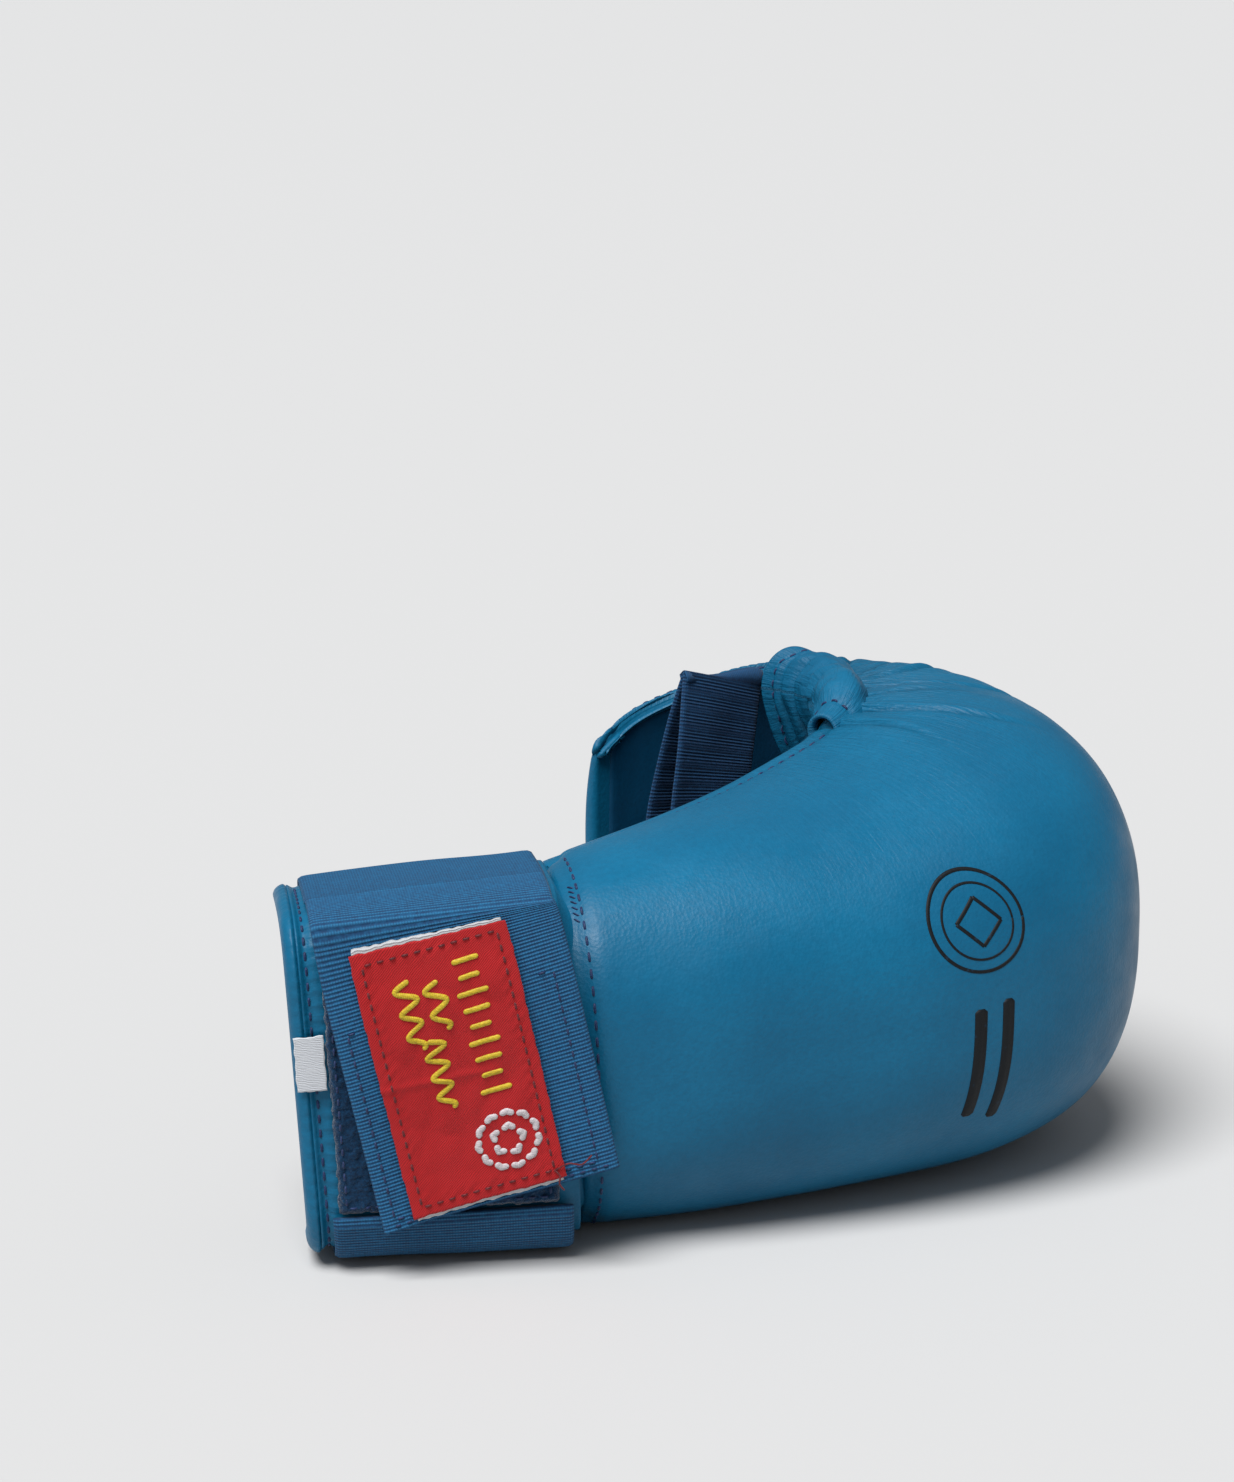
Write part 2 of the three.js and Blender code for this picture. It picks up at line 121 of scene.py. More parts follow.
def waves(seed, low, high, terms=7):
    """A smooth random function of two lengths, about -1 to 1, with wavelengths between low and high."""
    draw = np.random.default_rng(seed)
    turn = draw.uniform(0, 2 * math.pi, terms)
    size = 2 * math.pi / draw.uniform(low, high, terms)
    phase = draw.uniform(0, 2 * math.pi, terms)

    def at(a, b):
        total = 0
        for k in range(terms):
            total = total + np.sin((a * math.cos(turn[k]) + b * math.sin(turn[k])) * size[k] + phase[k])
        return total / math.sqrt(terms)

    return at


# ---------------------------------------------------------------- mesh making


def make(name, points, faces, uv=None, mats=()):
    """An object from points in millimetres in the hand's frame."""
    mesh = bpy.data.meshes.new(name)
    mesh.from_pydata(part(points).tolist(), [], [list(f) for f in faces])
    mesh.polygons.foreach_set("use_smooth", [True] * len(mesh.polygons))
    if uv is not None:
        layer = mesh.uv_layers.new(name="UVMap")
        index = np.zeros(len(mesh.loops), int)
        mesh.loops.foreach_get("vertex_index", index)
        layer.data.foreach_set("uv", (np.asarray(uv)[index]).astype(np.float32).ravel())
    for m in mats:
        mesh.materials.append(m)
    mesh.validate()
    mesh.update()
    obj = bpy.data.objects.new(name, mesh)
    bpy.context.scene.collection.objects.link(obj)
    return obj


def grid_faces(rows, cols, wrap=False, start=0, flip=False):
    i, j = np.meshgrid(np.arange(rows - 1), np.arange(cols if wrap else cols - 1), indexing="ij")
    k = (j + 1) % cols
    f = np.stack([i * cols + j, i * cols + k, (i + 1) * cols + k, (i + 1) * cols + j], -1).reshape(-1, 4)
    return (f[:, ::-1] if flip else f) + start


def face_out(obj):
    """Turns a closed mesh's faces outwards."""
    bm = bmesh.new()
    bm.from_mesh(obj.data)
    bmesh.ops.recalc_face_normals(bm, faces=bm.faces)
    bm.to_mesh(obj.data)
    bm.free()
    return obj


def closed_faces(rows, count, start=0):
    """Faces of a closed body through rings; a ring's j-th and last-j-th points face each other."""
    faces = grid_faces(rows, count, wrap=True, start=start).tolist()
    for j in range(count // 2 - 1):
        cap = [start + q for q in (j, j + 1, count - 2 - j, count - 1 - j)]
        faces += [cap, [(rows - 1) * count + q for q in cap[::-1]]]
    return faces


def loft(name, rings, uv=None, mats=()):
    """A closed body through rings (rows, around, 3)."""
    uv = None if uv is None else uv.reshape(-1, 2)
    return face_out(make(name, rings.reshape(-1, 3), closed_faces(*rings.shape[:2]), uv, mats))


def strips(name, bodies, mats):
    """Several closed bodies, each given by its rings, as one object."""
    faces, start = [], 0
    for rings in bodies:
        faces += closed_faces(*rings.shape[:2], start)
        start += rings.shape[0] * rings.shape[1]
    return face_out(make(name, np.concatenate([r.reshape(-1, 3) for r in bodies]), faces, mats=mats))


def slab(name, top, bottom, mats, uv=None):
    """A closed slab between two grids of points."""
    uv = None if uv is None else np.concatenate([uv, uv[:, ::-1]], 1)
    return loft(name, np.concatenate([top, bottom[:, ::-1]], 1), uv, mats)


def attribute(obj, key, values):
    """A number for each point of a mesh, and 0 for the points after the last value."""
    data = np.zeros(len(obj.data.vertices), np.float32)
    data[: len(values)] = values
    obj.data.attributes.new(key, "FLOAT", "POINT").data.foreach_set("value", data)


def dress(obj, body=None, node=None):
    """What a piece rides on, and the CAD node it stands in for, which is hidden."""
    if body:
        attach(obj, body)
    if node:
        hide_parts(node)
    return obj


def band_section(half, thick, cols=21, round_by=0.45):
    """A webbing's cross-section: offsets across and through it, out along the top and back below."""
    t = np.linspace(-1, 1, cols)
    across = half * np.sign(t) * (1 - (1 - np.abs(t)) ** 1.35)
    edge = np.clip((half - np.abs(across)) / (thick * 0.9), 0, 1)
    rise = thick / 2 * np.sqrt(1 - (1 - edge) ** 2 * (1 - round_by**2))
    return np.concatenate([across, across[::-1]]), np.concatenate([rise, -rise[::-1]])


def band(name, line, across, width, thick, mats, rib=0.0, pitch=0.8, cols=21, shape=None, to=None):
    """Flat webbing along a line. across is the direction of its width; shape(s, a) lifts it, to places it."""
    s = arc(line)
    along = unit(np.gradient(line, axis=0))
    across = np.broadcast_to(across, line.shape)
    across = unit(across - along * np.sum(across * along, axis=1, keepdims=True))
    up = np.cross(across, along)
    a, n = band_section(width / 2, thick, cols)
    S, A = s[:, None], a[None, :]
    inner = smooth((width / 2 - np.abs(A)) / 1.2)
    waver = waves(11, 14, 40)(S, A) * 0.05
    ribs = rib * (0.5 + 0.5 * np.sin(2 * math.pi * (S / pitch + waver) - math.pi / 2)) * inner
    lift = n[None, :] + np.sign(n)[None, :] * (ribs - rib)
    if shape is not None:
        lift = lift + shape(S, A)
    P = line[:, None, :] + across[:, None, :] * A[..., None] + up[:, None, :] * lift[..., None]
    uv = np.stack(np.broadcast_arrays(A / 1000, (S + waver * pitch) / 1000), -1)
    return loft(name, P if to is None else to(P), uv, mats)


def stitches(name, line, normal, mats, pitch=3.4, length=2.5, radius=0.32, sink=0.1, slant=0.0):
    """Sewn stitches along a line that lies on a surface: each one an arched thread whose ends go in."""
    length_along = arc(line)
    count = max(1, int(length_along[-1] / pitch))
    centre_at = (np.arange(count) + 0.5) * length_along[-1] / count

    def at(values, where):
        return np.stack([np.interp(where, length_along, values[:, k]) for k in range(3)], -1)

    normal = np.broadcast_to(normal, line.shape)
    around, rings = 6, 6
    t = np.linspace(-1, 1, rings)
    verts, faces = [], []
    for c in centre_at:
        mid = at(line, c + t * length / 2)
        up = unit(at(normal, c + t * length / 2))
        along = unit(np.gradient(mid, axis=0))
        side = np.cross(up, along)
        mid = mid + side * (slant * t)[:, None] * length / 2
        arch = radius * (0.75 - 1.75 * t**4) - sink
        wide = radius * np.sqrt(np.clip(1 - 0.8 * t**4, 0.05, 1))
        base = len(verts) * around * rings
        turn = 2 * math.pi * np.arange(around) / around
        ring = (
            mid[:, None, :]
            + up[:, None, :] * (arch[:, None] + wide[:, None] * np.sin(turn)[None, :])[..., None]
            + side[:, None, :] * (wide[:, None] * np.cos(turn)[None, :])[..., None]
        )
        verts.append(ring.reshape(-1, 3))
        faces.extend(grid_faces(rings, around, wrap=True, start=base).tolist())
        faces.append([base + k for k in range(around)][::-1])
        faces.append([base + (rings - 1) * around + k for k in range(around)])
    obj = make(name, np.concatenate(verts), faces, mats=mats)
    return face_out(obj)


def surface_normals(P):
    du = np.gradient(P, axis=0)
    dv = np.gradient(P, axis=1)
    return unit(np.cross(du, dv))


# ---------------------------------------------------------------- materials


class Shader:
    """One Principled material with a few helpers to wire it."""

    def __init__(self, name, colour, roughness=0.5, **sockets):
        self.mat = bpy.data.materials.new(name)
        self.mat.use_nodes = True
        self.tree = self.mat.node_tree
        self.bsdf = self.tree.nodes["Principled BSDF"]
        self.put("Base Color", (*colour, 1))
        self.put("Roughness", roughness)
        for socket, value in sockets.items():
            self.put(socket.replace("_", " "), value)
        self.height = None
        self.coords = self.node("ShaderNodeTexCoord")

    def node(self, kind, **values):
        """A node with its settings and its inputs' values; an underscore stands for a space."""
        n = self.tree.nodes.new(kind)
        for key, value in values.items():
            if hasattr(n, key):
                setattr(n, key, value)
            else:
                n.inputs[key.replace("_", " ")].default_value = value
        return n

    def wire(self, value, socket):
        if isinstance(value, bpy.types.NodeSocket):
            self.tree.links.new(value, socket)
        else:
            socket.default_value = value

    def put(self, socket, value):
        self.wire(value, self.bsdf.inputs[socket])

    def space(self, scale=(1, 1, 1), turn=(0, 0, 0), which="Object"):
        n = self.node("ShaderNodeMapping", Scale=scale, Rotation=turn)
        self.wire(self.coords.outputs[which], n.inputs["Vector"])
        return n.outputs[0]

    def noise(self, scale, detail=3, rough=0.55, vector=None, distortion=0.0):
        n = self.node("ShaderNodeTexNoise", Scale=scale, Detail=detail, Roughness=rough, Distortion=distortion)
        self.wire(vector or self.coords.outputs["Object"], n.inputs["Vector"])
        return n.outputs[0]

    def cells(self, scale):
        n = self.node("ShaderNodeTexVoronoi", feature="F1", Scale=scale)
        self.wire(self.coords.outputs["Object"], n.inputs["Vector"])
        return n.outputs[0]

    def wave(self, scale, direction="Y", vector=None, distortion=0.0, dscale=1.0):
        n = self.node("ShaderNodeTexWave", wave_type="BANDS", bands_direction=direction, wave_profile="SIN",
                      Scale=scale, Distortion=distortion, Detail=2.0, Detail_Scale=dscale)
        self.wire(vector or self.coords.outputs["UV"], n.inputs["Vector"])
        return n.outputs["Fac"]

    def math(self, operation, a, b):
        n = self.node("ShaderNodeMath", operation=operation)
        self.wire(a, n.inputs[0])
        self.wire(b, n.inputs[1])
        return n.outputs[0]

    def ramp(self, value, low, high, to_low=0.0, to_high=1.0):
        n = self.node("ShaderNodeMapRange", From_Min=low, From_Max=high, To_Min=to_low, To_Max=to_high)
        self.wire(value, n.inputs["Value"])
        return n.outputs[0]

    def attribute(self, name):
        return self.node("ShaderNodeAttribute", attribute_name=name).outputs["Fac"]

    def mix(self, factor, a, b):
        n = self.node("ShaderNodeMix", data_type="RGBA")
        self.wire(factor, n.inputs[0])
        for k, colour in ((6, a), (7, b)):
            self.wire((*colour, 1) if isinstance(colour, tuple) else colour, n.inputs[k])
        return n.outputs[2]

    def bump(self, height, distance, strength):
        n = self.node("ShaderNodeBump", Strength=strength, Distance=distance)
        self.wire(height, n.inputs["Height"])
        if self.height is not None:
            self.wire(self.height, n.inputs["Normal"])
        self.height = n.outputs[0]
        self.put("Normal", self.height)

    def two_tone(self, pattern, low, high, tone, shade, depth, strength):
        """The shade in a pattern's hollows, the tone on its tops, and its relief."""
        self.put("Base Color", self.mix(self.ramp(pattern, low, high), shade, tone))
        self.bump(pattern, depth, strength)
        return self.mat


def srgb(*rgb):
    return tuple(c / 255 / 12.92 if c / 255 < 0.04045 else ((c / 255 + 0.055) / 1.055) ** 2.4 for c in rgb)


def times(colour, share):
    return tuple(min(1, c * share) for c in colour)


WAVE_SCALE = 2 * math.pi / 20 * 1000  # the wave texture's scale for one band per millimetre
GRAIN = 1150  # leather grain cells per metre


def leather(name, tone, shade, roughness=0.42, grain=1.0):
    s = Shader(name, tone, roughness + 0.06, Specular_IOR_Level=0.22)
    slow = s.ramp(s.noise(22, 3), 0.32, 0.7)
    fine = s.noise(700, 2)
    tint = s.mix(slow, shade, tone)
    speck = s.mix(s.ramp(fine, 0.35, 0.7, 0, 0.25), tint, times(shade, 0.72))
    # painted shade: the crease mask darkens the base colour along the pleats, the seam grooves and the crease near
    # the flap tip
    painted_crease_shade = s.ramp(s.attribute("painted_crease_shade"), 0.0, 1.0, 0.0, 0.55)
    s.put("Base Color", s.mix(painted_crease_shade, speck, times(shade, 0.35)))
    s.put("Roughness", s.ramp(s.noise(120, 3), 0.3, 0.75, roughness - 0.05, roughness + 0.1))
    grains = s.math("ADD", s.cells(GRAIN), s.math("MULTIPLY", s.noise(2600, 2), 0.6))
    s.bump(grains, 0.00010 * grain, 0.55)
    # fine creases that run across the seams, where the leather is gathered
    lines = s.noise(1.0, 3, 0.6, s.space((950, 90, 1), which="UV"), 0.6)
    gathered = s.math("MULTIPLY", lines, s.attribute("gather"))
    s.bump(gathered, 0.0014, 0.85)
    s.bump(s.noise(46, 2), 0.0009, 0.35)
    return s.mat


def elastic(name, tone, shade, pitch=0.9):
    s = Shader(name, tone, 0.78, Specular_IOR_Level=0.25, Sheen_Weight=0.05, Sheen_Roughness=0.5)
    rib = s.wave(WAVE_SCALE / pitch)
    yarn = s.wave(WAVE_SCALE / 0.62, "X", distortion=0.6, dscale=400)
    weave = s.math("MULTIPLY", rib, s.ramp(yarn, 0, 1, 0.55, 1.0))
    fuzz = s.noise(900, 3)
    tint = s.mix(s.ramp(weave, 0.15, 0.9), shade, tone)
    s.put("Base Color", s.mix(s.ramp(fuzz, 0.4, 0.75, 0, 0.35), tint, times(tone, 1.35)))
    s.put("Roughness", s.ramp(fuzz, 0.3, 0.7, 0.7, 0.9))
    s.bump(s.math("ADD", weave, s.math("MULTIPLY", fuzz, 0.4)), 0.00022, 0.7)
    return s.mat


def pile(name, tone, shade):
    s = Shader(name, tone, 0.95, Specular_IOR_Level=0.15, Sheen_Weight=0.35, Sheen_Roughness=0.4)
    return s.two_tone(s.noise(1500, 4, 0.7), 0.35, 0.68, tone, shade, 0.0006, 0.9)


def cloth(name, tone, shade, pitch=0.45, roughness=0.7, twill=38):
    """Woven cloth; twill is the angle of its lines in degrees."""
    s = Shader(name, tone, roughness, Specular_IOR_Level=0.3, Sheen_Weight=0.15, Sheen_Roughness=0.5)
    turn = (0, 0, math.radians(twill))
    rib = s.wave(WAVE_SCALE / pitch, "Y", s.space(turn=turn, which="UV"), 0.5, 300)
    cross = s.wave(WAVE_SCALE / (pitch * 0.8), "X", s.space(turn=turn, which="UV"), 0.5, 300)
    weave = s.math("MULTIPLY", rib, s.ramp(cross, 0, 1, 0.6, 1))
    dirt = s.noise(70, 4)
    tint = s.mix(s.ramp(weave, 0.1, 0.85), shade, tone)
    s.put("Base Color", s.mix(s.ramp(dirt, 0.5, 0.8, 0, 0.3), tint, times(shade, 0.75)))
    s.put("Roughness", s.ramp(dirt, 0.3, 0.7, roughness - 0.05, roughness + 0.12))
    s.bump(weave, 0.00016, 0.6)
    return s.mat


def thread(name, tone, shade):
    s = Shader(name, tone, 0.55, Specular_IOR_Level=0.35, Sheen_Weight=0.1)
    twist = s.noise(1400, 2, vector=s.space((1, 1, 3.5)))
    return s.two_tone(twist, 0.35, 0.65, tone, shade, 0.0001, 0.6)


def foam_look(name, tone, shade):
    s = Shader(name, tone, 0.9, Specular_IOR_Level=0.2)
    return s.two_tone(s.cells(900), 0.1, 0.5, tone, shade, 0.0005, 0.7)


def ink_look(name, tone):
    s = Shader(name, tone, 0.6, Specular_IOR_Level=0.2)
    worn = s.noise(420, 4)
    s.put("Base Color", s.mix(s.ramp(worn, 0.62, 0.8, 0, 0.35), tone, srgb(24, 82, 118)))
    s.bump(s.cells(GRAIN), 0.00008, 0.5)
    return s.mat


LEATHER = leather("blue_leather", srgb(10, 98, 134), srgb(8, 85, 119))
ROLL_LEATHER = leather("blue_leather_roll", srgb(11, 97, 133), srgb(8, 84, 118), 0.45)
# the lining: the cover's blue painted darker, as painted shade on the mitt's inside faces
SHADED_LINING = leather("lining_leather_painted_shade", srgb(7, 70, 104), srgb(5, 54, 84), 0.5, 0.7)
ELASTIC = elastic("strap_elastic", srgb(34, 98, 138), srgb(8, 51, 87))
# the palm span's elastic: the strap's elastic painted a step darker, as painted shade for the span that lies in
# shadow
SHADED_ELASTIC = elastic("palm_elastic_painted_shade", srgb(31, 91, 129), srgb(8, 46, 80))
# the finger loop's elastic: the strap's elastic painted darker, as painted shade for the loop, which sits in shadow
SHADED_LOOP_ELASTIC = elastic("finger_elastic", srgb(20, 66, 104), srgb(7, 36, 66))
PILE = pile("loop_pile", srgb(14, 58, 92), srgb(5, 32, 58))
HOOKS = pile("hook_strip", srgb(16, 50, 80), srgb(7, 30, 52))
RED = cloth("label_red", srgb(184, 12, 20), srgb(150, 6, 12))
WHITE = cloth("label_white", srgb(198, 198, 201), srgb(172, 174, 178), 0.5, twill=0)
SATIN = cloth("tag_satin", srgb(202, 204, 208), srgb(182, 186, 192), 0.4, 0.45, twill=0)
FLEECE = cloth("cuff_lining_cloth", srgb(20, 72, 106), srgb(12, 50, 80), 0.9, 0.9)
YELLOW = thread("yellow_thread", srgb(196, 172, 34), srgb(158, 132, 18))
WHITE_THREAD = thread("white_thread", srgb(192, 186, 188), srgb(160, 152, 156))
NAVY_THREAD = thread("navy_thread", srgb(14, 44, 92), srgb(8, 26, 62))
RED_THREAD = thread("dark_red_thread", srgb(108, 12, 22), srgb(62, 8, 16))
# the foam is painted mid grey, darker than foam's own pale colour, as painted shade so that the roll's open ends
# look dark
SHADED_FOAM = foam_look("foam_painted_shade", srgb(140, 144, 148), srgb(104, 108, 114))
INK = ink_look("black_print", srgb(14, 18, 22))

# ---------------------------------------------------------------- the pad's surfaces

# Outer line over the back, the sides' edge line, half width, thickness over the back and at the sides
SECTIONS = [
    (-7.5, -22.4, 10, 21.7, 45.5, 9, 8),
    (30, -33.2, 40, 23, 48.5, 13, 11),
    (64, -40.3, 61, 27.5, 50.5, 18, 14),
    (95, -43.5, 79, 31, 53, 22, 15),
    (121, -40.7, 91.5, 33, 55.5, 24, 16),
    (141.5, -31.3, 102, 35.5, 57.5, 24, 16),
    (156.5, -16, 110, 41, 58.5, 24, 16),
    (165.5, 3.8, 116, 49, 58.5, 23, 16),
    (167, 25.6, 119.5, 57.5, 58.5, 22, 15),
    (163, 47.4, 120.5, 66, 58, 20, 14),
    (154.5, 66.3, 118.5, 74.5, 57.5, 17, 12),
    (140, 81.5, 113, 83, 56.5, 13, 11),
    (119.5, 94, 104, 89.5, 54.5, 9.5, 10),
    (98.5, 101, 91, 94, 50, 7, 8.5),
    (80.5, 102, 79, 95.5, 45, 5.6, 7.5),
    (65, 98.5, 67.5, 93.5, 38, 4.5, 6.5),
]
FLAT = 0.925
FULL_HALF = 58.5
SIZES = spline(
    [
        [bx, bd, ex, ed, half, (FULL_HALF if i > 6 else half) * FLAT, thick, side]
        for i, (bx, bd, ex, ed, half, thick, side) in enumerate(SECTIONS)
    ]
)
ROLL_FROM, ROLL_TO = 4.2 / 15, 9.3 / 15


def side_of(u, v):
    return SIZES(u)[..., 7] * (1 - 0.55 * np.abs(v) ** 5)


def pad(u, v, back=0.0, side=0.0, floor=0.0):
    """A point of the pad: u from wrist to flap tip, v from the little-finger edge, -1, to the thumb's, 1."""
    u, v = np.broadcast_arrays(np.asarray(u, float), np.asarray(v, float))
    q = SIZES(u)
    B, E = q[..., 0:2], q[..., 2:4]
    reach = E - B
    height = np.linalg.norm(reach, axis=-1)
    angle = np.clip(v, -1, 1) * math.pi / 2
    down = back + (height - back) * (1 - np.abs(np.cos(angle)) ** POWER)
    spread = np.sign(v) * np.abs(np.sin(angle)) ** POWER
    half = (q[..., 4] - side) * (1 - 0.1 * (down / height) ** 3)
    at = B + reach / height[..., None] * down[..., None]
    z = q[..., 5] + half * spread
    soft = 1.2  # the cloth's turn on to the flat it rests on
    z = np.where(z > floor + soft, z, floor + soft * np.exp(np.minimum((z - floor - soft) / soft, 0)))
    slant = WRIST_SLANT * (WRIST_TOP - z) * np.maximum(0, 1 - u / 0.12) ** 2
    return np.stack([at[..., 0] + slant, at[..., 1], z], -1)


def even_parameters(curve, count, low=0.0, high=1.0):
    """Parameters that space a curve's points evenly."""
    t = np.linspace(low, high, 4001)
    length = arc(curve(t))
    return np.interp(np.linspace(0, length[-1], count), length, t)


ROWS, COLS = 300, 251
US = even_parameters(lambda t: pad(t, 0.35), ROWS, 0.004, 0.996)
VS = even_parameters(lambda t: pad(0.45, t), COLS, -0.998, 0.998)
U, V = np.meshgrid(US, VS, indexing="ij")
ALONG = arc(pad(US, 0.35))  # millimetres along the pad


def roll_zone(u, soft=0.015):
    return smooth((u - ROLL_FROM) / soft + 0.5) * smooth((ROLL_TO - u) / soft + 0.5)


def edge_distance(P):
    """Millimetres from each point of a grid to its two side edges, measured along the surface."""
    step = np.linalg.norm(np.diff(P, axis=1), axis=2)
    run = np.concatenate([np.zeros((len(P), 1)), np.cumsum(step, axis=1)], 1)
    return run[:, -1:] - run, run


def to_line(P, N, line):
    """Distance to a line of points, which side of it, and how far along it, for each point of P."""
    flat = P.reshape(-1, 3)
    best = np.full(len(flat), 1e9)
    side = np.zeros(len(flat))
    where = np.zeros(len(flat))
    for k in range(len(line) - 1):
        a, d = line[k], line[k + 1] - line[k]
        t = np.clip((flat - a) @ d / (d @ d), 0, 1)
        off = flat - a - t[:, None] * d
        dist = np.linalg.norm(off, axis=1)
        closer = dist < best
        best = np.where(closer, dist, best)
        turn = np.einsum("ij,ij->i", np.cross(np.broadcast_to(d, off.shape), off), N.reshape(-1, 3))
        side = np.where(closer, np.sign(turn), side)
        where = np.where(closer, (k + t) / (len(line) - 1), where)
    return (x.reshape(P.shape[:2]) for x in (best, side, where))


outer = pad(U, V)
normal = surface_normals(outer)
centre = outer.mean(axis=(0, 1))
if np.sum(normal[ROWS // 2, COLS // 2] * (outer[ROWS // 2, COLS // 2] - centre)) < 0:
    normal = -normal

# Pleats that gather the leather of the thumb side on to the roll: section and share where each starts,
# section and share where it fades, its bow and its depth
PLEATS = [
    (4.25, 1.0, 4.05, 0.70, 0.10, 1.5),
    (4.9, 1.0, 5.9, 0.54, -0.20, 1.9),
    (5.7, 1.0, 6.6, 0.72, 0.05, 0.8),
    (6.5, 1.0, 7.9, 0.50, -0.15, 1.5),
    (7.4, 1.0, 9.3, 0.44, 0.35, 1.8),
    (8.3, 1.0, 9.6, 0.72, 0.10, 0.8),
    (9.2, 1.0, 11.1, 0.48, 0.40, 1.6),
]


def pleat_line(first, share, last, end, bow):
    t = np.linspace(0, 1, 22)
    return pad((lerp(first, last, t) + bow * np.sin(math.pi * t)) / 15, lerp(share, end, t))


lift = np.zeros(U.shape)
# painted shade mask: where the leather's colour is darkened along the pleats, the seam grooves and the tip's crease
painted_crease_shade = np.zeros(U.shape)
for first, share, last, end, bow, deep in PLEATS:
    away, side, t = to_line(outer, normal, pleat_line(first, share, last, end, bow))
    s = away * side
    fade = (1 - smooth((t - 0.1) / 0.9)) * smooth(1.2 - away / 16)
    lift += 0.72 * deep * fade * (-0.85 * bell(s, 0.85) + 0.62 * bell(s - 2.3, 1.5) + 0.34 * bell(s + 2.8, 2.2))
    painted_crease_shade = np.maximum(painted_crease_shade, fade * bell(s, 0.6))

# The fine gathers that fan out from the roll's seam on the thumb side
seam = pad(np.linspace(ROLL_FROM, ROLL_TO, 40), 1.0)
from_seam, _, along_seam = to_line(outer, normal, seam)
fan = along_seam * arc(seam)[-1]
ripple = waves(3, 5, 13)
thumb_side = smooth(V / 0.2)
fan_turn = 2 * math.pi * (fan / 4.1) + 1.4 * ripple(fan * 1.7, from_seam * 0.5)
lift += 0.22 * np.exp(-from_seam / 13) * np.sin(fan_turn) * thumb_side
lift += 0.35 * np.exp(-from_seam / 32) * waves(5, 9, 22)(fan * 1.5, from_seam * 0.4) * thumb_side
gather = np.exp(-from_seam / 26) * thumb_side

# The other side's edge has a milder gather, and the whole skin a slow unevenness
to_thumb, to_little = edge_distance(outer)
from_wrist = ALONG[:, None] + 0 * V
edge_turn = 2 * math.pi * from_wrist / 6.3 + 1.2 * ripple(from_wrist, to_little * 0.4)
lift += 0.22 * np.exp(-to_little / 12) * np.sin(edge_turn)
lift += 0.22 * waves(8, 38, 80)(from_wrist, V * 110)
gather = np.maximum(gather, 0.35 * np.exp(-to_little / 16))

# Seam groove and lip along both edges, a soft crease where the pad turns to the cuff
from_edge = np.minimum(to_thumb, to_little)
HEM = 4.0  # from the stitch line to the edge
free_edge = 1 - roll_zone(U) * (V > 0)
lift -= 0.75 * bell(from_edge - HEM, 1.3) * free_edge
lift -= 0.5 * smooth(1 - from_edge / 9) * free_edge
pucker = np.sin(2 * math.pi * from_wrist / 3.4)
lift += 0.14 * bell(from_edge - HEM - 1.5, 1.8) * pucker * free_edge
painted_crease_shade = np.maximum(painted_crease_shade, 0.45 * bell(from_edge - HEM, 0.8) * free_edge)
lift -= 2.1 * smooth(1 - from_wrist / 9) ** 2
from_tip = ALONG[-1] - from_wrist
lift -= 0.7 * smooth(1 - from_tip / 7) ** 2
lift -= 0.4 * bell(from_tip - 6, 1.3)
painted_crease_shade = np.maximum(painted_crease_shade, 0.4 * bell(from_tip - 6, 0.8))
resting = smooth(1 - outer[..., 2] / 3)
skin = outer + normal * (lift * (1 - resting))[..., None]
skin[..., 2] = np.maximum(skin[..., 2], 0.0)

# The inner face: it meets the skin at a thin hem along the free edges
HEM_THICK = 2.6
side_depth = lerp(HEM_THICK, side_of(U, V), lerp(1.0, smooth(from_edge / 13), free_edge))
inner = pad(U, V, SIZES(U)[..., 6], side_depth, 0.0)
inner[..., 2] = np.maximum(inner[..., 2], 1.6)


def perimeter(G):
    return np.concatenate([G[0, :-1], G[:-1, -1], G[-1, :0:-1], G[:0:-1, 0]])


# A half-round rim from the skin's border to the inner face's, bulging away from the rows further in
border, inner_border = perimeter(skin), perimeter(inner)
outwards = unit(np.concatenate([
    skin[0, :-1] - skin[3, :-1],
    skin[:-1, -1] - skin[:-1, -4],
    (skin[-1] - skin[-4])[:0:-1],
    (skin[:, 0] - skin[:, 3])[:0:-1],
]))
bulge = np.minimum(np.linalg.norm(inner_border - border, axis=1) * 0.42, 1.7)
RIM = 7
rim = np.stack([
    lerp(border, inner_border, (1 - math.cos(math.pi * x)) / 2) + outwards * (bulge * math.sin(math.pi * x))[:, None]
    for x in np.linspace(0, 1, RIM + 2)[1:-1]
])
TURN_IN = (0, 2, 5, 9)  # grid steps by which the leather turns in over the inner face


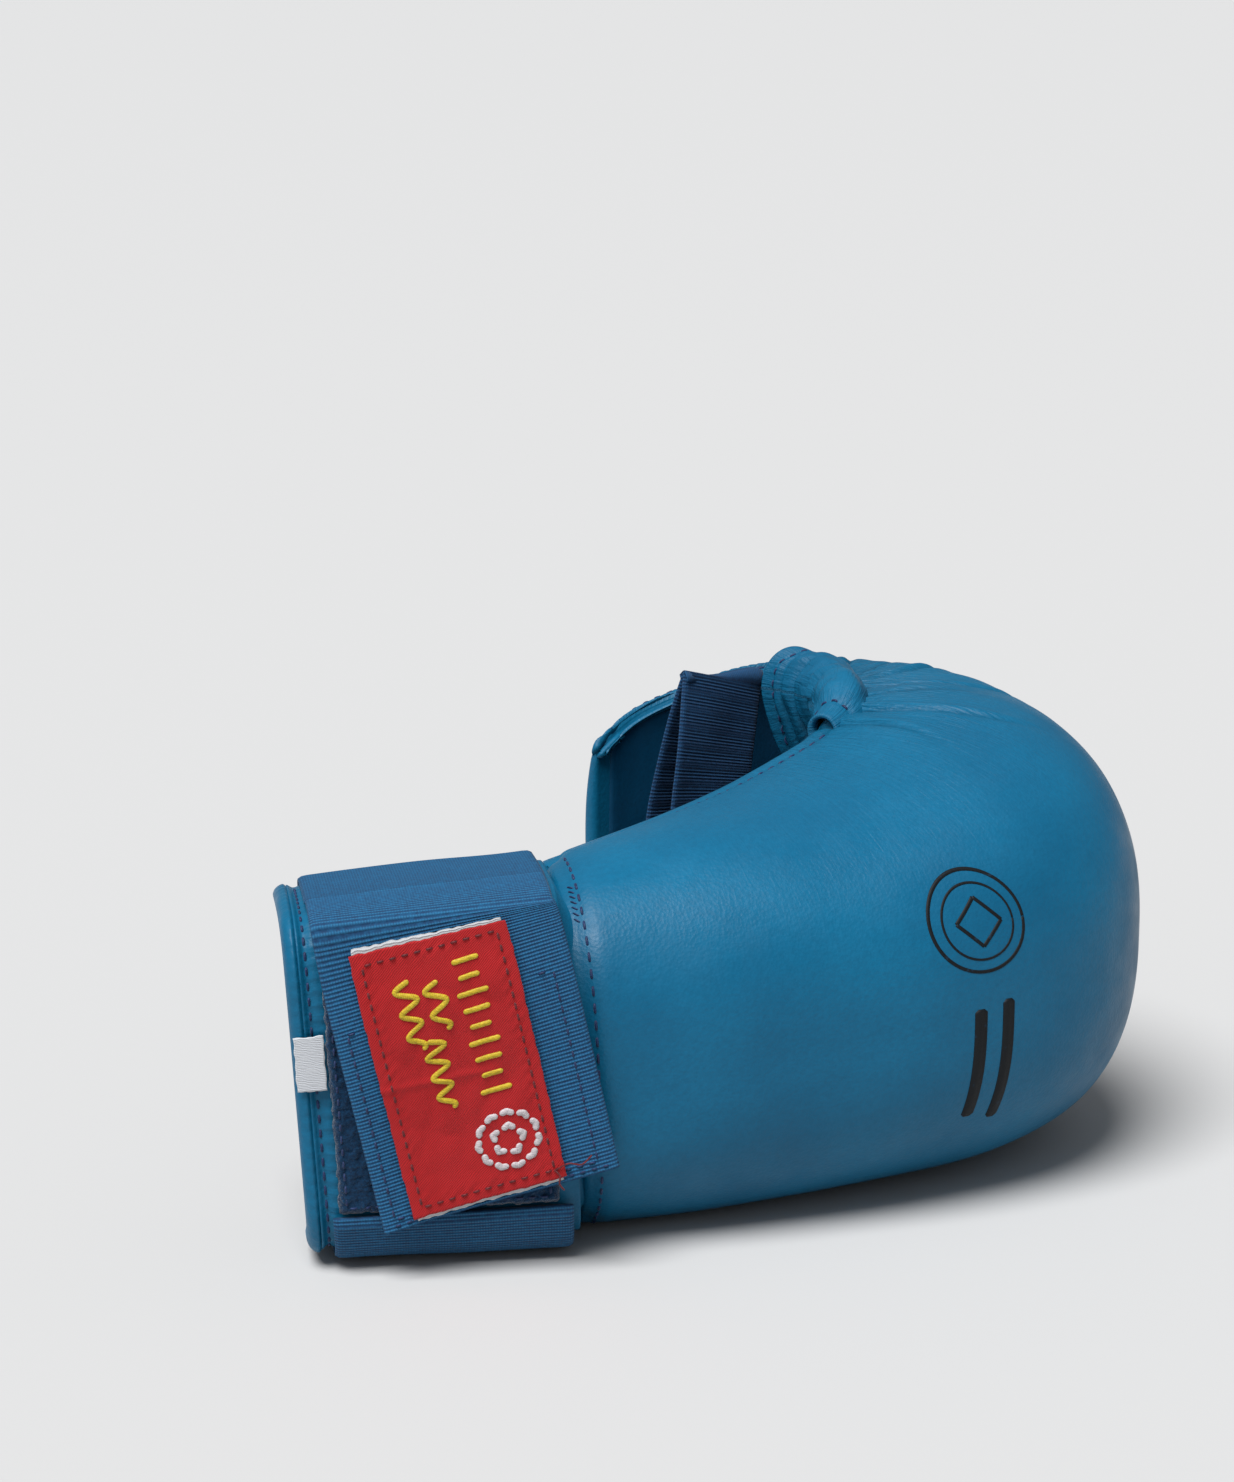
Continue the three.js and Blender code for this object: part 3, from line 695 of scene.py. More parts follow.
def build_cover():
    rows, cols = U.shape
    count = len(border)
    place = perimeter(np.stack(np.indices(U.shape), -1))
    uv = np.stack([U * 0 + ALONG[:, None] / 1000, to_little / 1000], -1)
    uv_ring = perimeter(uv)
    points = [skin.reshape(-1, 3), rim.reshape(-1, 3)]
    coords = [uv.reshape(-1, 2)] + [uv_ring + 0.001 * (k + 1) for k in range(RIM)]
    for inset in TURN_IN:
        i, j = np.clip(place, inset, (rows - 1 - inset, cols - 1 - inset)).T
        points.append(inner[i, j])
        coords.append(uv_ring + 0.008 + 0.001 * inset)
    rings = [place @ (cols, 1)]
    rings += [U.size + k * count + np.arange(count) for k in range(RIM + len(TURN_IN))]
    faces = [grid_faces(rows, cols)]
    for a, b in zip(rings[:-1], rings[1:]):
        faces.append(np.stack([a, np.roll(a, -1), np.roll(b, -1), b], -1)[:, ::-1])
    obj = make("pad_cover", np.concatenate(points), np.concatenate(faces), np.concatenate(coords), [LEATHER])
    attribute(obj, "gather", gather.ravel())
    attribute(obj, "painted_crease_shade", painted_crease_shade.ravel())
    solid = obj.modifiers.new("leather", "SOLIDIFY")
    solid.thickness = 0.0011
    solid.offset = -1
    return obj


def clean_flip(obj, outwards_at, direction):
    """Turns an open sheet's faces so that one of its points faces the given way."""
    co = np.array([v.co for v in obj.data.vertices])
    near = int(np.argmin(np.linalg.norm(co - part(outwards_at), axis=1)))
    for p in obj.data.polygons:
        if near in p.vertices:
            if p.normal.dot(direction) < 0:
                obj.data.flip_normals()
            break


def apply_modifiers(obj):
    bpy.context.view_layer.update()
    graph = bpy.context.evaluated_depsgraph_get()
    mesh = bpy.data.meshes.new_from_object(obj.evaluated_get(graph))
    obj.modifiers.clear()
    obj.data = mesh
    mesh.polygons.foreach_set("use_smooth", [True] * len(mesh.polygons))
    return obj


cover = build_cover()
clean_flip(cover, skin[ROWS // 3, COLS // 2], (0, -1, 0))
dress(apply_modifiers(cover), "pad", "outer_cover")


def pad_slab(name, u0, u1, limit, rows, cols, top_depth, bottom_depth, mats):
    """A layer of the pad between two depths, which are functions that give the back's and the sides'."""
    us = even_parameters(lambda t: pad(t, 0.35), rows, u0, u1)
    vs = np.clip(even_parameters(lambda t: pad(0.45, t), cols, -limit, limit), -limit, limit)
    uu, vv = np.meshgrid(us, vs, indexing="ij")
    edge = np.clip((limit - np.abs(vv)) / 0.03, 0, 1)
    ends = np.clip(np.minimum(uu - u0, u1 - uu) / 0.008, 0, 1)
    round_off = np.sqrt(1 - (1 - np.minimum(edge, ends)) ** 2 * 0.75)
    t0, t1 = top_depth(uu, vv), bottom_depth(uu, vv)
    middle = [(a + b) / 2 for a, b in zip(t0, t1)]
    t0 = [lerp(m, a, round_off) for m, a in zip(middle, t0)]
    t1 = [lerp(m, b, round_off) for m, b in zip(middle, t1)]
    top, bottom = pad(uu, vv, *t0, 0.9), pad(uu, vv, *t1, 1.2)
    length = arc(pad(us, 0.35))
    uv = np.stack(np.broadcast_arrays(length[:, None] / 1000, vv * 0.1), -1)
    return slab(name, top, bottom, mats, uv)


def inner_at(extra):
    return lambda u, v: (SIZES(u)[..., 6] - extra, side_of(u, v) - extra)


foam = pad_slab("pad_foam", 0.03, 0.965, 0.9, 90, 72, lambda u, v: (1.7 + 0 * u, 1.7 + 0 * u), inner_at(1.9), [SHADED_FOAM])
dress(foam, "pad", "foam_core")
for name, node, u0, u1 in (
    ("hand_lining_sheet", "hand_lining", 0.025, 0.4995),
    ("finger_lining_sheet", "finger_lining", 0.5005, 0.975),
):
    sheet = pad_slab(name, u0, u1, 0.965, 80, 90, inner_at(1.1), inner_at(-0.35), [SHADED_LINING])
    dress(sheet, "pad", node)

# ---------------------------------------------------------------- thumb roll


def closed_tube(name, rings, uv, mats):
    """A tube with a wall: its rings run out along the outside and back along the inside, closed both ways."""
    rows, count = rings.shape[:2]
    i, j = np.meshgrid(np.arange(rows), np.arange(count), indexing="ij")
    k, n = (j + 1) % count, (i + 1) % rows
    faces = np.stack([i * count + j, i * count + k, n * count + k, n * count + j], -1).reshape(-1, 4)
    return face_out(make(name, rings.reshape(-1, 3), faces, uv.reshape(-1, 2), mats))


ROLL_LENGTH = arc(pad(np.linspace(ROLL_FROM, ROLL_TO, 60), 1.0))[-1]
# Folds across the roll: millimetres from its wrist end out of 46, depth, and the turn at which each leans
ROLL_FOLDS = ((9, 0.9, 0.3), (16.5, 1.5, -0.2), (23, 1.1, 0.5), (30.5, 1.6, 0.0), (37, 1.0, -0.4))


def roll_at(u, turn, out=0.0):
    """A point of the roll's surface. turn is 0 towards the palm and 90 degrees towards the thumb."""
    u, turn = np.broadcast_arrays(np.asarray(u, float), np.asarray(turn, float))
    c, s = np.cos(turn), np.sin(turn)
    share = (u - ROLL_FROM) / (ROLL_TO - ROLL_FROM)
    neck = 0.66 + 0.34 * smooth(share / 0.25)
    flat = (lerp(6.6, 8.0, share) + 0.5) * neck
    lobe = np.where(s < 0, 1 + 0.95 * smooth((share - 0.2) / 0.7) * s**2, 1.0)
    tall = lerp(7.2, 10.4, share) * neck * lobe
    q = SIZES(u)
    reach = unit(q[..., 2:4] - q[..., 0:2])
    rim_point = pad(u, 1.0, 0.0, side_of(u, 1.0) / 2)
    along = share * ROLL_LENGTH
    from_end = np.minimum(along, ROLL_LENGTH - along)
    swell = 0.5 * waves(21, 14, 34)(along, turn * 8) + 0.25 * waves(23, 6, 12)(along, turn * 9)
    folds = 0
    for at, deep, lean in ROLL_FOLDS:
        away = along - at * ROLL_LENGTH / 46 - 2.2 * np.sin(turn - lean)
        folds = folds - 0.6 * deep * bell(away, 1.4) + 0.25 * deep * bell(np.abs(away) - 2.8, 1.6)
    inside_bend = smooth((c + 0.55) / 1.3)
    pulled = -0.8 * bell(along, 5) - 0.5 * bell(along - ROLL_LENGTH, 5)
    hem = 0.45 * smooth(1 - from_end / 4.4) - 0.4 * bell(from_end - 4.6, 0.7)
    r = out + (swell + folds * inside_bend) * smooth(from_end / 5) + pulled + hem
    a, b = np.maximum(flat + r, 1), np.maximum(tall + r, 1)
    back = smooth(1 - share / 0.9)
    xy = rim_point[..., :2] + reach * (flat + 0.5 - 7.0 * back + a * c)[..., None]
    z = rim_point[..., 2] + 2.4 * back + b * s
    return np.concatenate([xy, z[..., None]], -1)


# The sleeve's wall: out along its outside, over the end, back along its inside and over the other end
turns = np.linspace(0, 2 * math.pi, 88, endpoint=False)[None, :]
us = np.linspace(ROLL_FROM, ROLL_TO, 130)
END_BULGE, END_DEPTH, WALL = 0.0016, -0.45, -1.3
stations = [(u, 0.0) for u in us] + [(us[-1] + END_BULGE, END_DEPTH)]
stations += [(u, WALL) for u in us[::-4]] + [(us[0] - END_BULGE, END_DEPTH)]
uu, oo = np.array(stations).T[:, :, None]
rings = roll_at(uu, turns, oo)
roll_along = (uu - ROLL_FROM) / (ROLL_TO - ROLL_FROM) * ROLL_LENGTH / 1000
uv = np.stack(np.broadcast_arrays(turns * 0.009, roll_along), -1)
roll = closed_tube("thumb_roll_cover", rings, uv, [ROLL_LEATHER])
attribute(roll, "gather", [0.35] * len(roll.data.vertices))
dress(roll, "pad", "thumb_roll_sleeve")

setback = 0.12 * (ROLL_TO - ROLL_FROM)
us = np.linspace(ROLL_FROM + setback, ROLL_TO - setback, 60)
dome = np.sqrt(np.clip(1 - (1 - np.clip(np.minimum(us - us[0], us[-1] - us) / 0.014, 0, 1)) ** 2, 0.02, 1))
rings = roll_at(us[:, None], turns[:, ::4], -1.6)
middle = rings.mean(axis=1, keepdims=True)
filling = loft("thumb_roll_filling", middle + (rings - middle) * dome[:, None, None], None, [SHADED_FOAM])
dress(filling, "pad", "thumb_roll_foam")


def thread_piece(name, line, normal, body, mats=None, **values):
    return dress(stitches(name, line, normal, mats or [NAVY_THREAD], **values), body)


inwards = 4.6 / ROLL_LENGTH * (ROLL_TO - ROLL_FROM)
for name, at in (("roll_wrist_end_stitches", ROLL_FROM + inwards), ("roll_finger_end_stitches", ROLL_TO - inwards)):
    t = np.linspace(-0.35 * math.pi, 1.35 * math.pi, 80)
    line, above = roll_at(at, t, 0.05), roll_at(at, t, 1.05)
    thread_piece(name, line, unit(above - line), "pad", pitch=3.1, length=2.2)

# ---------------------------------------------------------------- seams and print on the pad


def on_skin(u, v, height=0.0):
    """Points of the pad's finished skin, raised a little along its normal."""
    i = np.interp(u, US, np.arange(ROWS))
    j = np.interp(v, VS, np.arange(COLS))
    i0, j0 = np.minimum(i.astype(int), ROWS - 2), np.minimum(j.astype(int), COLS - 2)
    a, b = (i - i0)[..., None], (j - j0)[..., None]

    def pick(G):
        low = G[i0, j0] * (1 - a) + G[i0 + 1, j0] * a
        high = G[i0, j0 + 1] * (1 - a) + G[i0 + 1, j0 + 1] * a
        return low * (1 - b) + high * b

    n = unit(pick(skin_normal))
    return pick(skin) + n * np.asarray(height)[..., None], n


skin_normal = surface_normals(skin)
if np.sum(skin_normal[ROWS // 2, COLS // 2] * normal[ROWS // 2, COLS // 2]) < 0:
    skin_normal = -skin_normal


def edge_line(rows, thumb, inwards):
    """The line at a distance in from one of the pad's side edges."""
    vs = []
    for i in rows:
        run_in = to_thumb[i][::-1] if thumb else to_little[i]
        v_in = VS[::-1] if thumb else VS
        vs.append(np.interp(inwards, run_in, v_in))
    return on_skin(US[rows], np.array(vs))


for name, thumb, first, last in (
    ("edge_stitches_wrist_side", True, 0.012, ROLL_FROM - 0.012),
    ("edge_stitches_finger_side", True, ROLL_TO + 0.014, 0.985),
    ("edge_stitches_little_finger_side", False, 0.012, 0.985),
):
    rows = np.where((US > first) & (US < last))[0]
    line, n = edge_line(rows, thumb, HEM)
    thread_piece(name, line, n, "pad")

vs = np.linspace(-0.93, 0.93, 160)


def across_pad(name, u, vs, **values):
    """Stitches across the pad, on its skin."""
    line, n = on_skin(np.full(len(vs), u), vs)
    thread_piece(name, line, n, "pad", **values)


across_pad("flap_tip_stitches", np.interp(5.5, ALONG[-1] - ALONG[::-1], US[::-1]), vs)
across_pad("crease_stitches", np.interp(3.6, ALONG, US), vs * 0.98, pitch=3.8, length=2.9)
tack = np.linspace(0.5, 0.7, 60)
across_pad("crease_bar_tack", np.interp(2.2, ALONG, US), tack, pitch=1.6, length=1.8, radius=0.28, slant=0.9)


def v_of(u, z):
    """The share across the pad at which its outer face has a given height."""
    q = SIZES(u)
    s = (z - q[..., 5]) / q[..., 4]
    return np.sign(s) * np.arcsin(np.clip(np.abs(s), 0, 1) ** (1 / POWER)) * 2 / math.pi


def printed(name, outlines, at_u, at_z):
    """Thin printed shapes: strips between pairs of lines, in millimetres along and up from a place."""
    bodies = []
    for left, right in outlines:
        two = np.stack([left, lerp(left, right, 0.5), right], 1)
        u = at_u + np.interp(two[..., 0], [-60, 60], [-60 / 392, 60 / 392])
        v = v_of(u, at_z + two[..., 1])
        top, low = on_skin(u, v, 0.1)[0], on_skin(u, v, -0.25)[0]
        bodies.append(np.concatenate([top, low[:, ::-1]], 1))
    dress(strips(name, bodies, [INK]), "pad")


def ring_outline(radius, width):
    t = np.radians(np.linspace(0, 359, 72))
    round_line = np.stack([np.cos(t), np.sin(t)], -1)
    return round_line * (radius - width / 2), round_line * (radius + width / 2)


def bar_outline(x, z0, z1, width):
    z = np.linspace(z0, z1, 40)
    taper = width / 2 * np.sqrt(np.clip(1 - np.clip(1 - np.minimum(z - z0, z1 - z) / 0.5, 0, 1) ** 2, 0.25, 1))
    return np.stack([x - taper, z], -1), np.stack([x + taper, z], -1)


def quarter(k):
    return np.array([math.cos(math.pi / 2 * k), math.sin(math.pi / 2 * k)])


mark = [ring_outline(11.2, 0.75), ring_outline(8.4, 0.5)]
for k in range(4):
    a, b = quarter(k) * 5.4, quarter(k + 1) * 5.4
    path = a + (b - a) * np.linspace(0, 1, 16)[:, None]
    side = unit(np.array([[-(b - a)[1], (b - a)[0]]])) * 0.4
    mark.append((path - side, path + side))
printed("back_print_ring", mark, 0.1925, 71.0)
printed("back_print_bars", [bar_outline(3.6, -15, 15, 3.0), bar_outline(-3.4, -13.5, 13.5, 3.0)], 0.1975, 37.5)

# ---------------------------------------------------------------- finger elastic

LOOP_CENTRE = np.array([94.0, 77.0])
LOOP_TILT = math.radians(15)
LOOP_MID, LOOP_TOP, LOOP_BOTTOM = 58.5 * FLAT, 52.5, -43 + 0.4
loop_across = np.array([math.cos(LOOP_TILT), math.sin(LOOP_TILT), 0])
loop_out = np.array([-math.sin(LOOP_TILT), math.cos(LOOP_TILT), 0])


def loop_bow(z):
    """0 at the loop's ends and 1 at its middle."""
    return np.sin(math.pi * np.clip((z - LOOP_BOTTOM) / (LOOP_TOP - LOOP_BOTTOM), 0, 1))


def loop_point(n, z):
    """A point of the loop's middle plane: n through it, to the palm, and z above the pad's middle."""
    n, z = np.broadcast_arrays(np.asarray(n, float), np.asarray(z, float))
    place = np.array([*LOOP_CENTRE, LOOP_MID]) + n[..., None] * loop_out
    return place + z[..., None] * np.array([0, 0, 1.0]) - 9 * loop_bow(z)[..., None] * loop_across


def far_side(z, out=0.0):
    return loop_point(1.9 + 3.5 * loop_bow(z) ** 0.9 + out, z)


rise = LOOP_BOTTOM + (LOOP_TOP - LOOP_BOTTOM) * (1 - np.cos(math.pi * np.linspace(0, 1, 90))) / 2
near = loop_point(0.1 - 3.6 * loop_bow(rise) ** 0.9, rise)
line = even(np.concatenate([near, far_side(rise)[::-1][1:]]), count=1150)
elastic_loop = band(
    "finger_elastic", line, loop_across, 28, 1.5, [SHADED_LOOP_ELASTIC], rib=0.17, pitch=0.75, cols=19,
    shape=lambda s, a: 0.35 * waves(31, 20, 60)(s, a * 2),
)
dress(elastic_loop, "pad", "finger_loop")
for name, node, low, high in (
    ("finger_elastic_end_thumb", "finger_loop_tab_thumb_side", 32, 41),
    ("finger_elastic_end_little", "finger_loop_tab_little_side", -37, -28),
):
    line = far_side(np.linspace(low, high, 60), 1.7)
    end = band(name, line, loop_across, 16, 1.4, [SHADED_LOOP_ELASTIC], rib=0.15, pitch=0.75, cols=15)
    dress(end, "pad", node)
    low, high = low + 1.3, high - 1.3
    path = np.concatenate(runs([(-6.5, low), (6.5, low), (6.5, high), (-6.5, high), (-6.5, low)], 12))
    place = far_side(path[:, 1], 2.45) + path[:, :1] * loop_across
    thread_piece(name + "_stitches", place, loop_out, "pad", pitch=2.4, length=1.8, radius=0.26)

# ---------------------------------------------------------------- cuff

CUFF_PLACE = (-7.5, -22.4)
CUFF_POWER = 2 / 6.5
TAPER = 0.00092
CUFF_NEAR = 1.5
STRAP_NEAR, STRAP_FAR = 3.5, 57.5
STRAP_MIDDLE = -(STRAP_NEAR + STRAP_FAR) / 2
TIP_HINGE, TIP_END = 39.5, -29.0
CUFF_TOP = CUFF_MIDDLE + CUFF_HALF
FLAP_SLANT, FLAP_TURN = math.tan(math.radians(8.5)), 0.24  # the flap's sideways slant, and its turn
FLAP_SETTLES = 12  # how fast the turn comes on below the fold


def settle(p, hangs=False):
    """From the cuff's own frame to the hand's, with the cuff's taper, slant and lean; the flap also turns."""
    p = np.asarray(p, float)
    x, y, z = p[..., 0], p[..., 1], p[..., 2]
    if hangs:
        share = np.maximum(0, CUFF_TOP - z) / (CUFF_HALF - TIP_END)
        x = x + FLAP_SLANT * np.maximum(CUFF_TOP - z, 0)
        z = z + (x - STRAP_MIDDLE) * FLAP_TURN * (1 - np.exp(-FLAP_SETTLES * share))
    x = x + 0.12 * np.maximum(y + 8, 0) * smooth((40 - z) / 40)  # the palm edge of the lower wall is drawn in
    z = z * (1 + TAPER * x)
    shift = WRIST_SLANT * (WRIST_TOP - z)
    c, s = math.cos(LEAN), math.sin(LEAN)
    x, y = x + shift * c, y + shift * s - CUFF_BACK
    return np.stack([x * c + y * s + CUFF_PLACE[0], -x * s + y * c + CUFF_PLACE[1], z], -1)


def hang(p):
    return settle(p, True)


def cuff_at(v, depth=0.0):
    """Depth to the palm and height of the cuff's cross-section, in its own frame."""
    v, depth = np.broadcast_arrays(np.asarray(v, float), np.asarray(depth, float))
    angle = v * math.pi / 2
    tall = CUFF_EDGE - CUFF_BACK - depth
    down = tall * (1 - np.abs(np.cos(angle)) ** CUFF_POWER)
    spread = np.sign(v) * np.abs(np.sin(angle)) ** CUFF_POWER
    half = (CUFF_HALF - depth) * (1 - 0.04 * (down / tall) ** 3)
    return np.stack([CUFF_BACK + depth + down, CUFF_MIDDLE + half * spread], -1)


CUFF_VS = even_parameters(lambda t: cuff_at(t), 170, -1.0, 1.0)
CUFF_RUN = arc(cuff_at(CUFF_VS))


def cuff_shell(name, xs, outer_depth, inner_depth, mats, round_by, limit=1.0):
    """A layer of the cuff with rounded palm-side edges. The depths are functions of distance and run."""
    vs = CUFF_VS[np.abs(CUFF_VS) <= limit]
    run = np.interp(vs, CUFF_VS, CUFF_RUN)
    edge = np.radians([25, 50, 72, 86])

    def turned(i, depth, half):
        start = cuff_at(vs[i], depth[i])[0]
        ends = [cuff_at(vs[i], depth[i] + half[i] * (1 - math.cos(a)))[1] for a in edge]
        return np.stack([start + round_by * np.sin(edge), ends], -1)

    rings = []
    for x in xs:
        d0, d1 = outer_depth(x, run), inner_depth(x, run)
        half = (d1 - d0) / 2
        layers = [
            np.concatenate([turned(0, d, h)[::-1], cuff_at(vs, d), turned(-1, d, h)])
            for d, h in ((d0, half), (d1, -half))
        ]
        ring = np.concatenate([layers[0], layers[1][::-1]])
        rings.append(np.concatenate([np.full((len(ring), 1), -x), ring], 1))
    rings = np.array(rings)
    around = arc(rings[0][:, 1:])
    uv = np.stack(np.broadcast_arrays(around[None, :] / 1000, np.array(xs)[:, None] / 1000), -1)
    return loft(name, settle(rings), uv, mats)


def level(depth):
    return lambda x, run: depth + 0 * run


rumple = waves(41, 11, 30)
fine_rumple = waves(43, 5, 11)
HEM_PITCH = 3.4  # millimetres between the stitches, which pull the leather in


def cuff_outer(x, run):
    dip = 0.9 * bell(x - CUFF_NEAR, 4.5) + 0.55 * bell(x - 58.6, 1.1) - 0.45 * smooth((x - 59.0) / 1.2)
    wave = 0.35 * rumple(run + 0 * x, x * 1.4) * smooth((60 - x) / 8)
    wave = wave + 0.16 * bell(x - 55, 4) * np.sin(2 * math.pi * run / HEM_PITCH)
    return np.maximum(0.0, 0.35 + dip + wave)


xs = np.concatenate([np.linspace(1.5, 4, 6), np.linspace(4.8, 53, 56)[:-1], np.linspace(53, 60.3, 18)])
cuff_skin = cuff_shell("cuff_leather", xs, cuff_outer, level(4.0), [LEATHER], 1.6)
attribute(cuff_skin, "gather", [0.12] * len(cuff_skin.data.vertices))
dress(cuff_skin, "cuff", "cuff_cover")

cuff_foam = cuff_shell("cuff_foam", np.linspace(3, 57.5, 14), level(1.9), level(3.5), [SHADED_FOAM], 0.4, limit=0.97)
dress(cuff_foam, "cuff", "cuff_padding")


def cloth_face(x, run):
    return 4.9 + 0.15 * fine_rumple(run, x)


xs = np.linspace(2.2, 58.4, 40)
cuff_cloth = cuff_shell("cuff_lining_sheet", xs, level(4.08), cloth_face, [FLEECE], 0.2, limit=0.985)
dress(cuff_cloth, "cuff", "cuff_lining")

HEM_START, HEM_LONG = 59.9, 3.5


def hem_profile(sign):
    def depth(x, run):
        t = np.clip((x - HEM_START) / HEM_LONG, 0, 1)
        middle, half = 2.4, 2.9
        pucker = 0.16 * np.sin(2 * math.pi * run / HEM_PITCH + 0.6 * rumple(run, 0)) * (1 - t)
        pucker = pucker + 0.22 * rumple(run * 1.3, 7)
        start = 0.62 + 0.38 * smooth(t / 0.35)
        return middle + sign * (half * start * math.sqrt(max(0.02, 1 - t**2.6)) + pucker * 0.8)
    return depth


xs = HEM_START + HEM_LONG * np.sin(np.linspace(0, math.pi / 2, 18))
hem = cuff_shell("cuff_hem", xs, hem_profile(-1), hem_profile(1), [LEATHER], 1.4)
dress(hem, "cuff", "cuff_binding")


def cuff_line(x, vs, depth):
    p = cuff_at(vs, depth)
    return settle(np.concatenate([np.full((len(p), 1), -x), p], 1))


for name, x, depth, way, sink in (
    ("cuff_hem_stitches", 58.6, 0.85, -1, 0.1),
    ("cuff_lining_stitches", 57.0, 4.98, 1, 0.2),
):
    base, above = (cuff_line(x, CUFF_VS[2:-2], d) for d in (depth, depth + way))
    thread_piece(name, base, unit(above - base), "cuff", sink=sink)

# Leather gusset in the crease, between the pad's wrist end and the cuff
vs = np.linspace(-0.9, 0.9, 120)
pad_side = pad(0.016, vs, 3.4, 3.4, 1.6)
v_cuff = CUFF_VS[np.round(np.linspace(0.04, 0.96, 120) * (len(CUFF_VS) - 1)).astype(int)]
cuff_side = cuff_line(5.0, v_cuff, 2.6)
inwards = unit(np.stack([0 * vs, np.cos(vs * math.pi / 2), -np.sin(vs * math.pi / 2)], -1))


def gusset_layer(extra):
    t = np.linspace(0, 1, 15)
    return np.stack([lerp(pad_side, cuff_side, x) + inwards * (1.4 * math.sin(math.pi * x) + extra) for x in t])


gusset = slab("wrist_gusset", gusset_layer(0.0), gusset_layer(1.1), [LEATHER])
dress(gusset)
crease_at = np.array([CUFF_PLACE[0] + 3, CUFF_PLACE[1], 45.0])
crease_dir = np.array([0.93, -0.369, 0.0])
start, end = part(crease_at + crease_dir * 1.5), part(crease_at - crease_dir * 3.0)
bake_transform(gusset)

# ---------------------------------------------------------------- strap


def cuff_band(name, line, mats, to, width=53.5, **values):
    """Webbing along a line of (depth, height) points in the cuff's own frame."""
    path = np.concatenate([np.full((len(line), 1), STRAP_MIDDLE), line], 1)
    across = np.array([1.0, 0, 0])
    return band(name, path, across, width, 1.8, mats, rib=0.13, pitch=0.9, cols=27, to=to, **values)


def at_heights(*places):
    """Points of the cuff's cross-section, from depths and heights above its middle."""
    return [(y, CUFF_MIDDLE + z) for y, z in places]


def side_share(depth):
    v = np.linspace(0.2, 1, 2000)
    return v[np.argmax(cuff_at(v)[:, 0] > depth)]


HINGE_SHARE = side_share(-12)
little = cuff_at(np.linspace(-0.42, -1, 11), -1.2)
thumb = np.array([cuff_at(v, -(1.2 + 0.8 * k / 8)) for k, v in enumerate(np.linspace(1, HINGE_SHARE, 9))])
bow = at_heights((20, -39), (23.5, -31), (25.5, -17), (26.5, 0), (25.5, 17), (23.5, 31), (20, 39))
palm = spline([little[-1], *bow, thumb[0]])(np.linspace(0, 1, 60))
lower = np.array(at_heights((CUFF_BACK - 1.2, -30), (CUFF_BACK - 1.2, -32)))
palm_line = even(np.concatenate([lower, little[:-1], palm, thumb[1:]]), 0.15)
# the palm span wears the darker copy of the strap's elastic: painted shade
palm_strap = cuff_band(
    "strap_palm_band", palm_line, [SHADED_ELASTIC], settle, STRAP_FAR - STRAP_NEAR,
    shape=lambda s, a: 0.2 * waves(51, 25, 60)(s, a),
)
dress(palm_strap, "cuff", "strap_palm_span")

FACE = CUFF_BACK - 4.8
corner = at_heights((-19, 44.3), (-24.6, 43.8), (-28.3, 42.6), (FACE, 41))
corner = spline([thumb[-1], *corner])(np.linspace(0, 1, 60))
fold_line = even(np.concatenate([corner, at_heights((FACE, 40.3), (FACE, 39.9), (FACE, 39.52))]), 0.15)
fold = cuff_band("strap_fold_band", fold_line, [ELASTIC], hang)
dress(fold, node="strap_fold")
hinge = hang(np.array([STRAP_MIDDLE, -14.4, CUFF_MIDDLE + 44]))
fold_out = np.array([math.sin(LEAN), math.cos(LEAN), 0])
start, end = part(hinge + fold_out * 3.0), part(hinge - fold_out * 3.5)
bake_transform(fold)

TIP_START = 39.48
tip_line = even(np.array(at_heights(*[(FACE, z) for z in np.linspace(TIP_START, TIP_END, 60)])), 0.15)


def flap_wave(s, a):
    free = smooth(s / 60)
    slow = 0.55 * np.sin(s / 17 + 0.8) * smooth(s / 20) + 0.5 * waves(61, 30, 70)(s, a) * free
    return -(slow + 0.9 * free * smooth((np.abs(a) - 14) / 14))


tip = cuff_band("strap_tip_band", tip_line, [ELASTIC], hang, shape=flap_wave)
dress(tip, node="strap_tip")
hinge = hang(np.array([STRAP_MIDDLE, FACE - 0.9, CUFF_MIDDLE + TIP_HINGE]))
ends = np.array([[-57.0, FACE, CUFF_MIDDLE + TIP_HINGE], [-3.5, FACE, CUFF_MIDDLE + TIP_HINGE]])
bend_up = unit(np.cross(fold_out, hang(ends[0]) - hang(ends[1])))
bend_up = bend_up * np.sign(bend_up[2])
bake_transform(tip)


def to_border(X, Z, x0, x1, z0, z1):
    return np.minimum(np.minimum(X - x0, x1 - X), np.minimum(Z - z0, z1 - Z))


